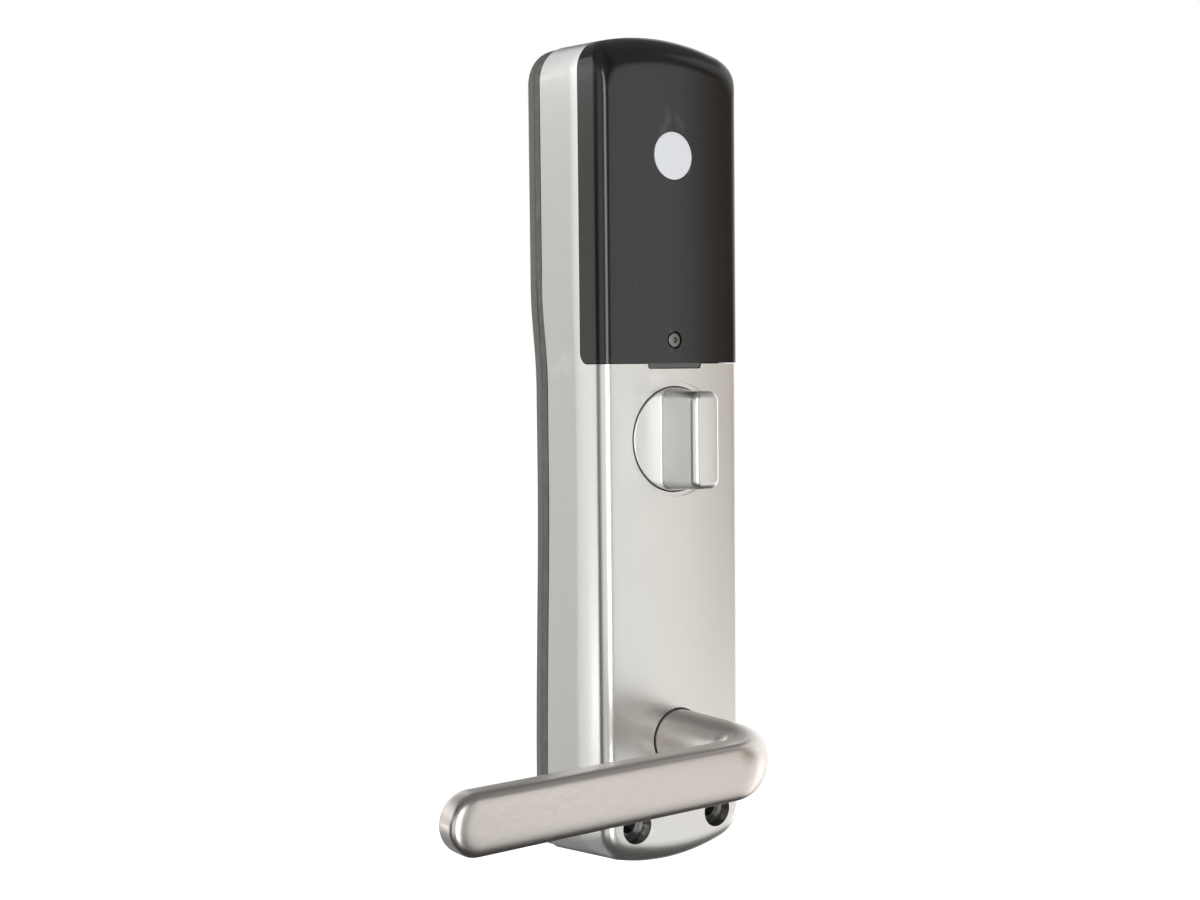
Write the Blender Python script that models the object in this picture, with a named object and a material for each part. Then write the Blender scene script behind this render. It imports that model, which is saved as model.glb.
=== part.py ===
"""Interior unit of an electronic door lock: housing, battery bay, motor-driven thumb turn and sprung lever.

Frame: the door face is the plane Y = 0 and the unit stands out from it towards -Y. X is to the right seen
from the room, Z is up, and the origin is on the door face, midway between the thumb turn's axis and the
lever's axis. Depths below are laid out from the unit's own datum, DOOR in front of the door, and the whole
is set on the door last.
"""

import math

import bmesh
import bpy
from mathutils import Matrix, Vector
from mathutils.geometry import tessellate_polygon

MM = 0.001
GAP = 0.3 * MM
WELD = 0.002 * MM

# Driving dimensions
AXIS_SPACING = 105 * MM
THUMB_Z = AXIS_SPACING / 2
LEVER_Z = -AXIS_SPACING / 2
WIDTH = 61.7 * MM
DEPTH = 42 * MM
CROWN = 1.0 * MM
SIDE_EDGE = 4.0 * MM
TOP_EDGE = 11 * MM
BOTTOM_EDGE = 8.1 * MM
TOP_ARC = 94.5 * MM
BOTTOM_ARC = 85 * MM
# Outlines of the housing: (half width, top Z, top corner radius, bottom Z, bottom corner radius)
FRONT_FORM = (WIDTH / 2, 191.8 * MM, 10.4 * MM, -96.6 * MM, 12.6 * MM)
REAR_FORM = (WIDTH / 2, 193.4 * MM, 13.8 * MM, -99.4 * MM, 6.5 * MM)
BROW_FORM = (WIDTH / 2 - SIDE_EDGE, 191.8 * MM - TOP_EDGE, 10.2 * MM, -96.6 * MM + BOTTOM_EDGE, 5.0 * MM)
TOP_Z = REAR_FORM[1]
WALL = 2.2 * MM

# Layers between the door and the housing, from the door out. The rims bow away from the door between
# the ends.
DOOR = 2.1 * MM
RIM_BOW = 2.9 * MM
RIM_FOOT_Z = -72.5 * MM
RIM_RISE = 115 * MM
RIM_FALL_Z = 72.5 * MM
RIM_FALL = 33 * MM
GASKET_FRONT = -1.6 * MM
CHASSIS_REAR = -4.1 * MM
FLANGE_REAR = -1.9 * MM
FLANGE_FRONT = -5.0 * MM
HOUSING_REAR = -5.9 * MM
BASE_FRONT = -6.4 * MM
CHASSIS_WALL_FRONT = -12 * MM

# Battery cover
COVER_BOTTOM_Z = 79.0 * MM
COVER_SIDE_REAR = -28.8 * MM
COVER_SIDE_CORNER = 4.3 * MM
COVER_WALL = 2.0 * MM
COVER_SCREW_Z = 86.9 * MM
COVER_SCREW_HOLE = 3.15 * MM
BADGE_Z = 150.4 * MM
BADGE_RADIUS = 8.4 * MM
TAB_HALF = 11.5 * MM
TAB_DROP = 1.7 * MM

# Thumb turn
THUMB_HOLE = 18.5 * MM
THUMB_DISC = 18.1 * MM
THUMB_SEAT = 20.2 * MM
SEAT_DEPTH = 0.5 * MM
GRIP_OUT = 17.5 * MM
GRIP_HALF_BASE = 6.15 * MM
GRIP_HALF_TIP = 5.9 * MM
GRIP_CORNER = 3.4 * MM
GRIP_HEIGHT_BASE = 17.2 * MM
GRIP_HEIGHT_TIP = 16.7 * MM

# Lever handle
NECK = 10.2 * MM
NECK_HOLE = 10.7 * MM
LEVER_LENGTH = 120.2 * MM
LEVER_BACK = 37.4 * MM
LEVER_THICK = 10.4 * MM
LEVER_EDGE = 3.6 * MM
LEVER_BEND = 13 * MM
LEVER_DROP = 1.4 * MM
LEVER_HEIGHT = 18.9 * MM
SPINDLE = 8 * MM
SPINDLE_REAR = 37.1 * MM

# Fixing screw holes at the foot of the housing
FIX_X = 18.0 * MM
FIX_Z = -81.3 * MM
FIX_BORE = 5.95 * MM
FIX_BORE_DEPTH = 5.8 * MM
FIX_HOLE = 3.4 * MM
FIX_POST = 8.0 * MM
FIXINGS = [(side * FIX_X, FIX_Z) for side in (-1, 1)]

# Gear train, module 1
MODULE = 1.0 * MM
DRIVE_TEETH = 30
IDLER_PINION_TEETH = 12
IDLER_WHEEL_TEETH = 24
MOTOR_TEETH = 12
IDLER_Z = THUMB_Z - MODULE * (DRIVE_TEETH + IDLER_PINION_TEETH) / 2
MOTOR_Z = IDLER_Z - MODULE * (IDLER_WHEEL_TEETH + MOTOR_TEETH) / 2

# Battery bay
CELL_RADIUS = 7.15 * MM
CELL_LENGTH = 50.2 * MM
CELL_PITCH = 15.1 * MM
CELL_FIRST_Z = 104.2 * MM
CELL_Y = -30.0 * MM
HOLDER_BOTTOM = 80.4 * MM
HOLDER_TOP = 181.5 * MM
HOLDER_FRONT = -34 * MM
HOLDER_REAR = -21 * MM
HOLDER_FLOOR = -22.5 * MM
POCKET_HALF = 27.1 * MM
CONTACT_X = 26.8 * MM


# ---------------------------------------------------------------- helpers

def clear_scene():
    for obj in list(bpy.data.objects):
        bpy.data.objects.remove(obj)


def material(name, colour, roughness, metallic):
    made = bpy.data.materials.new(name)
    made.use_nodes = True
    shader = made.node_tree.nodes["Principled BSDF"]
    shader.inputs["Base Color"].default_value = (*colour, 1)
    shader.inputs["Roughness"].default_value = roughness
    shader.inputs["Metallic"].default_value = metallic
    return made


def add_object(name, verts, faces):
    """An object from points and faces, with its normals turned outwards."""
    mesh = bpy.data.meshes.new(name)
    mesh.from_pydata([tuple(v) for v in verts], [], faces)
    work = bmesh.new()
    work.from_mesh(mesh)
    bmesh.ops.recalc_face_normals(work, faces=work.faces)
    work.to_mesh(mesh)
    work.free()
    obj = bpy.data.objects.new(name, mesh)
    bpy.context.scene.collection.objects.link(obj)
    return obj


def lofted(name, rings):
    """A closed solid through rings of equal point count, with a flat cap on each end."""
    count = len(rings[0])
    verts = [p for ring in rings for p in ring]
    faces = []
    for r in range(len(rings) - 1):
        for i in range(count):
            j = (i + 1) % count
            faces.append((r * count + i, r * count + j, (r + 1) * count + j, (r + 1) * count + i))
    faces.append(tuple(range(count)))
    faces.append(tuple(range((len(rings) - 1) * count, len(rings) * count)))
    return add_object(name, verts, faces)


def extruded(name, outline, y0, y1):
    """A flat (x, z) outline extruded along Y."""
    return lofted(name, [[(x, y, z) for x, z in outline] for y in (y0, y1)])


def pierced(name, outline, holes, y0, y1):
    """A flat (x, z) outline with holes in it, extruded along Y."""
    loops = [outline, *holes]
    points = [p for loop in loops for p in loop]
    count = len(points)
    faces = tessellate_polygon([[Vector((x, z, 0)) for x, z in loop] for loop in loops])
    faces += [tuple(i + count for i in face) for face in faces]
    first = 0
    for loop in loops:
        for i in range(len(loop)):
            low, high = first + i, first + (i + 1) % len(loop)
            faces.append((low, high, high + count, low + count))
        first += len(loop)
    return add_object(name, [(x, y, z) for y in (y0, y1) for x, z in points], faces)


def block(name, low, high):
    (x0, y0, z0), (x1, y1, z1) = low, high
    return extruded(name, [(x0, z0), (x1, z0), (x1, z1), (x0, z1)], y0, y1)


def rounded_outline(half_x, half_z, radius, centre=(0, 0), steps=4):
    """A rectangle with round corners, as (x, z) points."""
    points = []
    corners = ((1, 1, 0), (-1, 1, 1), (-1, -1, 2), (1, -1, 3))
    for sx, sz, quarter in corners:
        for i in range(steps + 1):
            angle = (quarter + i / steps) * math.pi / 2
            x = sx * (half_x - radius) + radius * math.cos(angle)
            z = sz * (half_z - radius) + radius * math.sin(angle)
            points.append((centre[0] + x, centre[1] + z))
    return points


def disc_outline(radius, centre, segments=28):
    angles = [2 * math.pi * i / segments for i in range(segments)]
    return [(centre[0] + radius * math.cos(a), centre[1] + radius * math.sin(a)) for a in angles]


def turned(name, profile, centre, segments=32):
    """A profile of (radius, y) points revolved about the Y line through centre (x, z).

    A profile that starts and ends on the axis makes a solid. Any other is closed into a ring.
    """
    verts, rows = [], []
    for radius, y in profile:
        if radius == 0:
            rows.append([len(verts)] * segments)
            verts.append((centre[0], y, centre[1]))
            continue
        row = []
        for i in range(segments):
            angle = 2 * math.pi * i / segments
            row.append(len(verts))
            verts.append((centre[0] + radius * math.cos(angle), y, centre[1] + radius * math.sin(angle)))
        rows.append(row)
    solid = profile[0][0] == 0
    pairs = list(zip(rows, rows[1:])) + ([] if solid else [(rows[-1], rows[0])])
    faces = []
    for low, high in pairs:
        for i in range(segments):
            j = (i + 1) % segments
            corners = list(dict.fromkeys((low[i], low[j], high[j], high[i])))
            if len(corners) > 2:
                faces.append(corners)
    return add_object(name, verts, faces)


def rod(name, radius, y0, y1, centre, segments=24):
    return turned(name, [(0, y0), (radius, y0), (radius, y1), (0, y1)], centre, segments)


def ring(name, inner, outer, y0, y1, centre, segments=32):
    return turned(name, [(inner, y0), (outer, y0), (outer, y1), (inner, y1)], centre, segments)


def combine(target, operation, *others):
    """Applies a Boolean with each of the other objects, and removes them."""
    for other in others:
        modifier = target.modifiers.new("combine", "BOOLEAN")
        modifier.operation = operation
        modifier.solver = "EXACT"
        modifier.object = other
        bpy.context.view_layer.update()
        graph = bpy.context.evaluated_depsgraph_get()
        mesh = bpy.data.meshes.new_from_object(target.evaluated_get(graph))
        target.modifiers.clear()
        work = bmesh.new()
        work.from_mesh(mesh)
        bmesh.ops.remove_doubles(work, verts=work.verts, dist=WELD)
        work.to_mesh(mesh)
        work.free()
        target.data = mesh
        bpy.data.objects.remove(other)
    return target


def cut(target, *cutters):
    return combine(target, "DIFFERENCE", *cutters)


def join(target, *others):
    return combine(target, "UNION", *others)


def wire(name, points, radius, resolution=1):
    """A round wire along the given points, with closed ends."""
    curve = bpy.data.curves.new(name, "CURVE")
    curve.dimensions = "3D"
    curve.bevel_depth = radius
    curve.bevel_resolution = resolution
    curve.use_fill_caps = True
    spline = curve.splines.new("POLY")
    spline.points.add(len(points) - 1)
    for slot, point in zip(spline.points, points):
        slot.co = (*point, 1)
    obj = bpy.data.objects.new(name, curve)
    bpy.context.scene.collection.objects.link(obj)
    return obj


def finished(obj, surface, smooth_angle=35):
    """Gives a piece its material and smooth shading."""
    obj.data.materials.clear()
    obj.data.materials.append(surface)
    if obj.type == "MESH":
        obj.data.shade_smooth()
        obj.data.set_sharp_from_angle(angle=math.radians(smooth_angle))
    return obj


def group(name, position, pieces):
    """Parents pieces to an empty that stands on their joint's axis."""
    pivot = bpy.data.objects.new(name, None)
    pivot.location = position
    bpy.context.scene.collection.objects.link(pivot)
    for piece in pieces:
        piece.parent = pivot
        piece.matrix_parent_inverse = Matrix.Translation(-Vector(position))
    return pivot


# ---------------------------------------------------------------- the housing's shape

def arc_points(centre, radius, start, end, steps):
    """(x, z, normal z) along an arc, both ends included."""
    points = []
    for i in range(steps + 1):
        angle = start + (end - start) * i / steps
        nx, nz = math.cos(angle), math.sin(angle)
        points.append((centre[0] + radius * nx, centre[1] + radius * nz, nz))
    return points


def half_outline(form, corner_steps=5, arc_steps=5, side_steps=8):
    """The right half of an outline from its bottom centre to its top centre, as (x, z, normal z)."""
    half, top, top_corner, bottom, bottom_corner = form

    def corner_centre(arc, radius):
        x = half - radius
        return x, math.acos(x / (arc - radius)), math.sqrt((arc - radius) ** 2 - x * x)

    x, angle, rise = corner_centre(BOTTOM_ARC, bottom_corner)
    arc_z = bottom + BOTTOM_ARC
    points = arc_points((0, arc_z), BOTTOM_ARC, -math.pi / 2, -angle, arc_steps)
    points += arc_points((x, arc_z - rise), bottom_corner, -angle, 0, corner_steps)[1:]
    x, angle, rise = corner_centre(TOP_ARC, top_corner)
    arc_z = top - TOP_ARC
    low_z, high_z = points[-1][1], arc_z + rise
    points += [(half, low_z + (high_z - low_z) * i / side_steps, 0.0) for i in range(1, side_steps)]
    points += arc_points((x, arc_z + rise), top_corner, 0, angle, corner_steps)
    points += arc_points((0, arc_z), TOP_ARC, angle, math.pi / 2, arc_steps)[1:]
    return points


def inset_form(form, inset):
    """An outline moved in on every side."""
    half, top, top_corner, bottom, bottom_corner = form
    top_corner, bottom_corner = max(top_corner - inset, 1 * MM), max(bottom_corner - inset, 1 * MM)
    return half - inset, top - inset, top_corner, bottom + inset, bottom_corner


def form_at(y, inset=0.0):
    """The housing's outline at a depth, between its rear and the start of the front's rounded edge."""
    start, end = HOUSING_REAR, -DEPTH + SIDE_EDGE
    share = max(0.0, min(1.0, (y - start) / (end - start)))
    mixed = tuple(r + (f - r) * share for r, f in zip(REAR_FORM, FRONT_FORM))
    return inset_form(mixed, inset)


def full_ring(half, y_of):
    """The whole outline with its Y from y_of(index, x)."""
    right = [(max(x, 0.0), y_of(i, x), z) for i, (x, z, nz) in enumerate(half)]
    return right + [(-x, y, z) for x, y, z in reversed(right[1:-1])]


def bow(z):
    """How far the rims behind the housing bow away from the door at a height."""
    def smooth(share):
        share = max(0.0, min(1.0, share))
        return share * share * (3 - 2 * share)

    return RIM_BOW * smooth((z - RIM_FOOT_Z) / RIM_RISE) * (1 - smooth((z - RIM_FALL_Z) / RIM_FALL))


def rear_cap(count, first=0):
    """Faces that close a symmetric ring with a strip across each pair of its points."""
    top = count // 2
    faces = []
    for i in range(top):
        corners = (first + i, first + i + 1, first + (count - i - 1) % count, first + (count - i) % count)
        faces.append(tuple(dict.fromkeys(corners)))
    return faces


def front_y(x):
    """The crowned front face."""
    return -DEPTH + CROWN * (2 * x / WIDTH) ** 2


def body_solid(name, inset, rear, bowed=False, edge_steps=4, rows=6):
    """A solid of the housing's outer form, moved in by inset on its sides and its front."""
    half = half_outline(inset_form(FRONT_FORM, inset))
    brow = half_outline(BROW_FORM)
    outer = half_outline(form_at(rear, inset))
    rings = [[(x, y - bow(z) * bowed, z) for x, y, z in full_ring(outer, lambda i, x: rear)]]
    if rear > HOUSING_REAR:
        rings.append(full_ring(outer, lambda i, x: HOUSING_REAR))
    for step in range(edge_steps + 1):
        turn = math.pi / 2 * step / edge_steps
        run, drop = 1 - math.cos(turn), 1 - math.sin(turn)
        level, depth = [], []
        for (x0, z0, nz), (x1, z1, _) in zip(half, brow):
            level.append((x0 + (x1 - x0) * run, z0 + (z1 - z0) * run, nz))
            end_edge = TOP_EDGE if nz > 0 else BOTTOM_EDGE
            depth.append((SIDE_EDGE + (end_edge - SIDE_EDGE) * nz * nz - inset) * drop)
        rings.append(full_ring(level, lambda i, x, d=depth: front_y(x) + inset + d[i]))
    count = len(rings[0])
    verts = [p for r in rings for p in r]
    faces = rear_cap(count)
    for r in range(len(rings) - 1):
        for i in range(count):
            j = (i + 1) % count
            faces.append((r * count + i, r * count + j, (r + 1) * count + j, (r + 1) * count + i))
    # The crowned face: one row of points across the front for each pair of outline points.
    last = (len(rings) - 1) * count
    top = len(half) - 1
    across = [[last]]
    for i in range(1, top):
        right, left = last + i, last + count - i
        x, y, z = verts[right]
        row = [right]
        for k in range(1, rows):
            x_here = x * (1 - 2 * k / rows)
            row.append(len(verts))
            verts.append((x_here, front_y(x_here) + inset, z))
        across.append(row + [left])
    across.append([last + top])
    for low, high in zip(across, across[1:]):
        for k in range(rows):
            corners = (low[min(k, len(low) - 1)], low[min(k + 1, len(low) - 1)])
            corners += (high[min(k + 1, len(high) - 1)], high[min(k, len(high) - 1)])
            corners = tuple(dict.fromkeys(corners))
            if len(corners) > 2:
                faces.append(corners)
    return add_object(name, verts, faces)


def outline_slab(name, levels):
    """A solid through rings of the housing's outline, each an (inset, y, bowed) triple."""
    rings = []
    for inset, y, bowed in levels:
        level = full_ring(half_outline(form_at(y, inset)), lambda i, x: 0.0)
        rings.append([(x, y - bow(z) * bowed, z) for x, _, z in level])
    count = len(rings[0])
    verts = [p for r in rings for p in r]
    last = (len(rings) - 1) * count
    faces = rear_cap(count) + rear_cap(count, last)
    for r in range(len(rings) - 1):
        for i in range(count):
            j = (i + 1) % count
            faces.append((r * count + i, r * count + j, (r + 1) * count + j, (r + 1) * count + i))
    return add_object(name, verts, faces)


def flat_slab(name, inset, y0, y1, holes=()):
    """A plain slab of the outline, moved in by inset, with holes straight through it."""
    rim = full_ring(half_outline(form_at(y0, inset), side_steps=1), lambda i, x: 0.0)
    return pierced(name, [(x, z) for x, _, z in rim], holes, y0, y1)


def cover_region(name, grow):
    """The space that the battery cover takes from the housing's form, grown by a clearance."""
    rear, foot, corner = COVER_SIDE_REAR + grow, COVER_BOTTOM_Z - grow, COVER_SIDE_CORNER
    front, top = -DEPTH - 10 * MM, TOP_Z + 10 * MM
    side = [(front, foot)]
    for i in range(6):
        angle = math.pi / 2 * i / 5
        side.append((rear - corner + corner * math.sin(angle), foot + corner - corner * math.cos(angle)))
    side += [(rear, top), (front, top)]
    reach = WIDTH
    return lofted(name, [[(x, y, z) for y, z in side] for x in (-reach, reach)])


def tab_outline(grow):
    """The finger tab under the cover, with cut corners."""
    half, foot = TAB_HALF + grow, COVER_BOTTOM_Z - TAB_DROP - grow
    top = COVER_BOTTOM_Z + 1 * MM
    corner = 0.7 * MM
    right = [(half - corner, foot), (half, foot + corner), (half, top)]
    return [(-x, z) for x, z in reversed(right)] + right


# ---------------------------------------------------------------- casings

BOSS_X = 24.6 * MM
BOSS_RADIUS = 4.4 * MM
BOSS_HEIGHTS = (-20 * MM, 74 * MM)
BOSSES = [(side * BOSS_X, z) for side in (-1, 1) for z in BOSS_HEIGHTS]
BOSS_REAR = -12.6 * MM
SCREW_HOLE = 1.7 * MM


def front_housing(surface):
    """The die-cast shell, open at the back and under the battery cover."""
    shell = body_solid("front_housing", 0, HOUSING_REAR, bowed=True)
    cavity = body_solid("cavity", WALL, 5 * MM)
    posts = [rod("post", FIX_POST, -DEPTH - 5 * MM, 10 * MM, (side * FIX_X, FIX_Z), 24) for side in (-1, 1)]
    bosses = [rod("boss", BOSS_RADIUS, -DEPTH - 5 * MM, BOSS_REAR, at, 16) for at in BOSSES]
    cut(cavity, *posts, *bosses)
    cut(shell, cavity, cover_region("window", GAP))
    for side in (-1, 1):
        at = (side * FIX_X, FIX_Z)
        floor = -DEPTH + FIX_BORE_DEPTH
        cut(shell, rod("bore", FIX_BORE, -DEPTH - 5 * MM, floor, at, 28))
        cut(shell, rod("hole", FIX_HOLE, -DEPTH, 10 * MM, at, 20))
        for z in BOSS_HEIGHTS:
            cut(shell, rod("pilot", 1.25 * MM, -30 * MM, 0, (side * BOSS_X, z), 10))
    seat = -DEPTH + SEAT_DEPTH
    cut(
        shell,
        rod("seat", THUMB_SEAT, -DEPTH - 5 * MM, seat, (0, THUMB_Z), 48),
        rod("thumb_hole", THUMB_HOLE, -DEPTH - 5 * MM, -30 * MM, (0, THUMB_Z), 48),
        rod("neck_hole", NECK_HOLE, -DEPTH - 5 * MM, -30 * MM, (0, LEVER_Z), 40),
        extruded("tab_notch", tab_outline(GAP), -DEPTH - 5 * MM, -DEPTH + 10 * MM),
    )
    # The posts stop level with the back of the housing, clear of the chassis.
    for side in (-1, 1):
        cut(shell, rod("trim", FIX_POST + 1 * MM, BASE_FRONT - GAP, 20 * MM, (side * FIX_X, FIX_Z), 24))
    return finished(shell, surface)


def chassis(surface):
    """The plastic base that carries everything inside: a flanged tray with posts."""
    tray = outline_slab(
        "chassis",
        [
            (0.3 * MM, FLANGE_REAR, True),
            (0.3 * MM, FLANGE_FRONT, True),
            (WALL + 0.4 * MM, FLANGE_FRONT, True),
            (WALL + 0.4 * MM, CHASSIS_WALL_FRONT, False),
        ],
    )
    cut(tray, flat_slab("inside", WALL + 2 * MM, BASE_FRONT, -20 * MM))
    cut(tray, flat_slab("plate_room", PLATE_INSET - GAP, 5 * MM, CHASSIS_REAR))
    pegs = [rod("peg", 3.4 * MM, CHASSIS_REAR - 1 * MM, BOSS_REAR + GAP, at, 14) for at in BOSSES]
    pegs += [rod("peg", 3 * MM, CHASSIS_REAR - 1 * MM, PLATE_REAR + GAP, at, 12) for at in FRAME_POSTS]
    pegs += [rod("peg", 2.5 * MM, CHASSIS_REAR - 1 * MM, BOARD_REAR + GAP, at, 10) for at in BOARD_POSTS]
    pegs.append(rod("peg", 4 * MM, CHASSIS_REAR - 1 * MM, -11 * MM, (0, IDLER_Z), 16))
    join(tray, *pegs)
    join(tray, ring("motor_seat", 8.3 * MM, 10 * MM, CHASSIS_REAR - 1 * MM, -12.5 * MM, (0, MOTOR_Z), 24))
    holes = [rod("hole", SCREW_HOLE, -30 * MM, 5 * MM, at, 10) for at in BOSSES]
    holes += [rod("sink", 3.1 * MM, CHASSIS_REAR - 1.2 * MM, 5 * MM, at, 14) for at in BOSSES]
    holes += [rod("hole", 1.1 * MM, -40 * MM, -16 * MM, at, 8) for at in FRAME_POSTS]
    holes += [rod("hole", 1.55 * MM, -20 * MM, 5 * MM, at, 10) for at in CASSETTE_SCREWS]
    holes += [rod("hole", FIX_HOLE + 0.4 * MM, -30 * MM, 5 * MM, at, 20) for at in FIXINGS]
    holes.append(rod("hole", 1.8 * MM, -20 * MM, -7.4 * MM, (0, IDLER_Z), 12))
    holes.append(rod("hole", 7.6 * MM, -30 * MM, 5 * MM, (0, THUMB_Z), 24))
    holes.append(rod("hole", 9.6 * MM, -30 * MM, 5 * MM, (0, LEVER_Z), 28))
    for side in (-1, 1):
        centre = (side * HOOK_X, HOOK_Z - HOOK_RISE / 2)
        slot = rounded_outline(5.5 * MM, 1.6 * MM + HOOK_RISE / 2, 0.5 * MM, centre, 2)
        holes.append(extruded("slot", slot, -30 * MM, 5 * MM))
    holes.append(extruded("slot", cable_outline(0), -30 * MM, 5 * MM))
    cut(tray, *holes)
    return finished(tray, surface)


def cable_outline(grow):
    """The opening through which the outside unit's cable arrives."""
    return rounded_outline(9 * MM + grow, 5.5 * MM + grow, 3 * MM, (0, CABLE_Z))


CABLE_Z = 92 * MM
PLATE_INSET = 4.2 * MM
PLATE_THICK = 2 * MM
HOOK_X = 13 * MM
HOOK_Z = 170 * MM
HOOK_RISE = 4 * MM


def mounting_plate(surface):
    """The steel plate that lies on the door inside the gasket."""
    holes = [disc_outline(8.2 * MM, (0, z)) for z in (THUMB_Z, LEVER_Z)] + [cable_outline(1 * MM)]
    for side in (-1, 1):
        holes.append(disc_outline(2.1 * MM, (side * FIX_X, FIX_Z), 16))
        # Slots for the bolts that come through the door from the outside unit.
        for z in (18 * MM, 128 * MM):
            holes.append(rounded_outline(2.8 * MM, 5 * MM, 2.4 * MM, (side * 14 * MM, z)))
    plate = flat_slab("mounting_plate", PLATE_INSET, DOOR, DOOR - PLATE_THICK, holes)
    # Two hooks near the top carry the unit while its lower screws are put in.
    for side in (-1, 1):
        x0, x1 = side * HOOK_X - 5 * MM, side * HOOK_X + 5 * MM
        corner = (x0, BASE_FRONT - 1.8 * MM, HOOK_Z - 1 * MM)
        stem = block("stem", corner, (x1, DOOR - 1 * MM, HOOK_Z + 1 * MM))
        leg = block("leg", corner, (x1, BASE_FRONT - GAP, HOOK_Z + HOOK_RISE))
        join(plate, join(stem, leg))
    return finished(plate, surface)


def door_gasket(surface):
    """The soft rim that closes the joint between the housing and the door."""
    soft = 0.7 * MM
    levels = [
        (0.8 * MM, DOOR, True),
        (0.1 * MM, DOOR - soft, True),
        (0.1 * MM, GASKET_FRONT + soft, True),
        (0.8 * MM, GASKET_FRONT, True),
    ]
    rim = outline_slab("door_gasket", levels)
    cut(rim, flat_slab("inside", PLATE_INSET - GAP, 5 * MM, -10 * MM))
    return finished(rim, surface)


def pan_screw(
    name, surface, at, seat_y, out, shank_length, head=2.8 * MM, shank=1.2 * MM, head_height=1.5 * MM
):
    """A pan-head screw with a hexagon socket.

    out is +1 where its head faces +Y, and -1 where it faces -Y.
    """
    top = seat_y + out * head_height
    profile = [
        (0, seat_y - out * shank_length),
        (shank * 0.6, seat_y - out * shank_length),
        (shank, seat_y - out * (shank_length - 0.8 * MM)),
        (shank, seat_y),
        (head, seat_y),
        (head, seat_y + out * head_height * 0.5),
        (head * 0.75, top),
        (0, top),
    ]
    screw = turned(name, profile, at, 16)
    low, high = sorted((top - out * head_height * 0.6, top + out * 2 * MM))
    cut(screw, rod("socket", head * 0.42, low, high, at, 6))
    return finished(screw, surface)


# ---------------------------------------------------------------- battery cover and bay

def battery_cover(surface):
    cover = body_solid("battery_cover", 0, 0)
    combine(cover, "INTERSECT", cover_region("keep", 0))
    inside = body_solid("inside", COVER_WALL, 5 * MM)
    cut(cover, inside)
    # The finger tab stands below the cover's edge, a little behind the front face.
    tab = extruded("tab", tab_outline(0), -DEPTH + 0.5 * MM, -DEPTH + 1.9 * MM)
    join(cover, tab)
    at = (0, COVER_SCREW_Z)
    cut(cover, rod("recess", COVER_SCREW_HOLE, -DEPTH - 5 * MM, -DEPTH + 1.2 * MM, at, 20))
    cut(cover, rod("hole", 1.6 * MM, -DEPTH - 5 * MM, -20 * MM, at, 12))
    badge = (0, BADGE_Z)
    cut(cover, rod("badge_seat", BADGE_RADIUS + 0.05 * MM, -DEPTH - 5 * MM, -DEPTH + 0.6 * MM, badge, 40))
    return finished(cover, surface)


def cover_screw(surface):
    sizes = {"head": 2.5 * MM, "shank": 1.25 * MM, "head_height": 0.85 * MM}
    at = (0, COVER_SCREW_Z)
    return pan_screw("cover_screw", surface, at, -DEPTH + 0.95 * MM, -1, 7 * MM, **sizes)


def cover_badge(surface):
    rim = BADGE_RADIUS - 0.2 * MM
    rear, front = -DEPTH + 0.35 * MM, -DEPTH - 0.1 * MM
    profile = [(0, rear), (rim, rear), (rim, front + 0.2 * MM), (rim - 0.3 * MM, front), (0, front)]
    return finished(turned("cover_badge", profile, (0, BADGE_Z), 40), surface)


def cover_pad(surface):
    """The foam strip in the cover that keeps the cells from rattling."""
    middle = CELL_FIRST_Z + 1.5 * CELL_PITCH
    low = (-7 * MM, -DEPTH + COVER_WALL + GAP + 0.1 * MM, middle - 24 * MM)
    high = (7 * MM, CELL_Y - CELL_RADIUS - GAP, middle + 24 * MM)
    return finished(block("cover_pad", low, high), surface)


def cell_z(index):
    return CELL_FIRST_Z + index * CELL_PITCH


def battery_holder(surface):
    """The tray that carries the cells, the radio module and the cover's screw."""
    half = POCKET_HALF + 1.2 * MM
    middle = (HOLDER_TOP + HOLDER_BOTTOM) / 2
    outline = rounded_outline(half, (HOLDER_TOP - HOLDER_BOTTOM) / 2, 9 * MM, (0, middle), 4)
    tray = extruded("battery_holder", outline, HOLDER_FRONT, HOLDER_REAR)
    low_z, high_z = cell_z(0) - CELL_PITCH / 2 - 0.2 * MM, cell_z(3) + CELL_PITCH / 2 + 0.2 * MM
    cut(tray, block("pocket", (-POCKET_HALF, -50 * MM, low_z), (POCKET_HALF, HOLDER_FLOOR, high_z)))
    deck = HOLDER_FRONT + 1.6 * MM
    cut(tray, block("hollow", (-24 * MM, deck, HOLDER_BOTTOM + 3 * MM), (24 * MM, 0, low_z - 1.4 * MM)))
    cut(tray, block("hollow", (12 * MM, deck, high_z + 1.4 * MM), (23 * MM, 0, HOLDER_TOP - 3 * MM)))
    module = ((-19.5 * MM, -50 * MM, high_z + 2.6 * MM), (9.5 * MM, HOLDER_FLOOR, HOLDER_TOP - 1.6 * MM))
    cut(tray, block("module_slot", *module))
    at = (0, COVER_SCREW_Z)
    join(tray, rod("boss", 4 * MM, -DEPTH + COVER_WALL + 0.7 * MM, HOLDER_REAR - 1 * MM, at, 16))
    cut(tray, rod("hole", 1.55 * MM, -50 * MM, -30 * MM, at, 12))
    cut(tray, rod("button_hole", 2.9 * MM, -50 * MM, 0, (BUTTON_X, BUTTON_Z), 20))
    return finished(tray, surface)


BUTTON_X = 17.5 * MM
BUTTON_Z = 171 * MM
BUTTON_TRAVEL = 1.2 * MM


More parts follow.
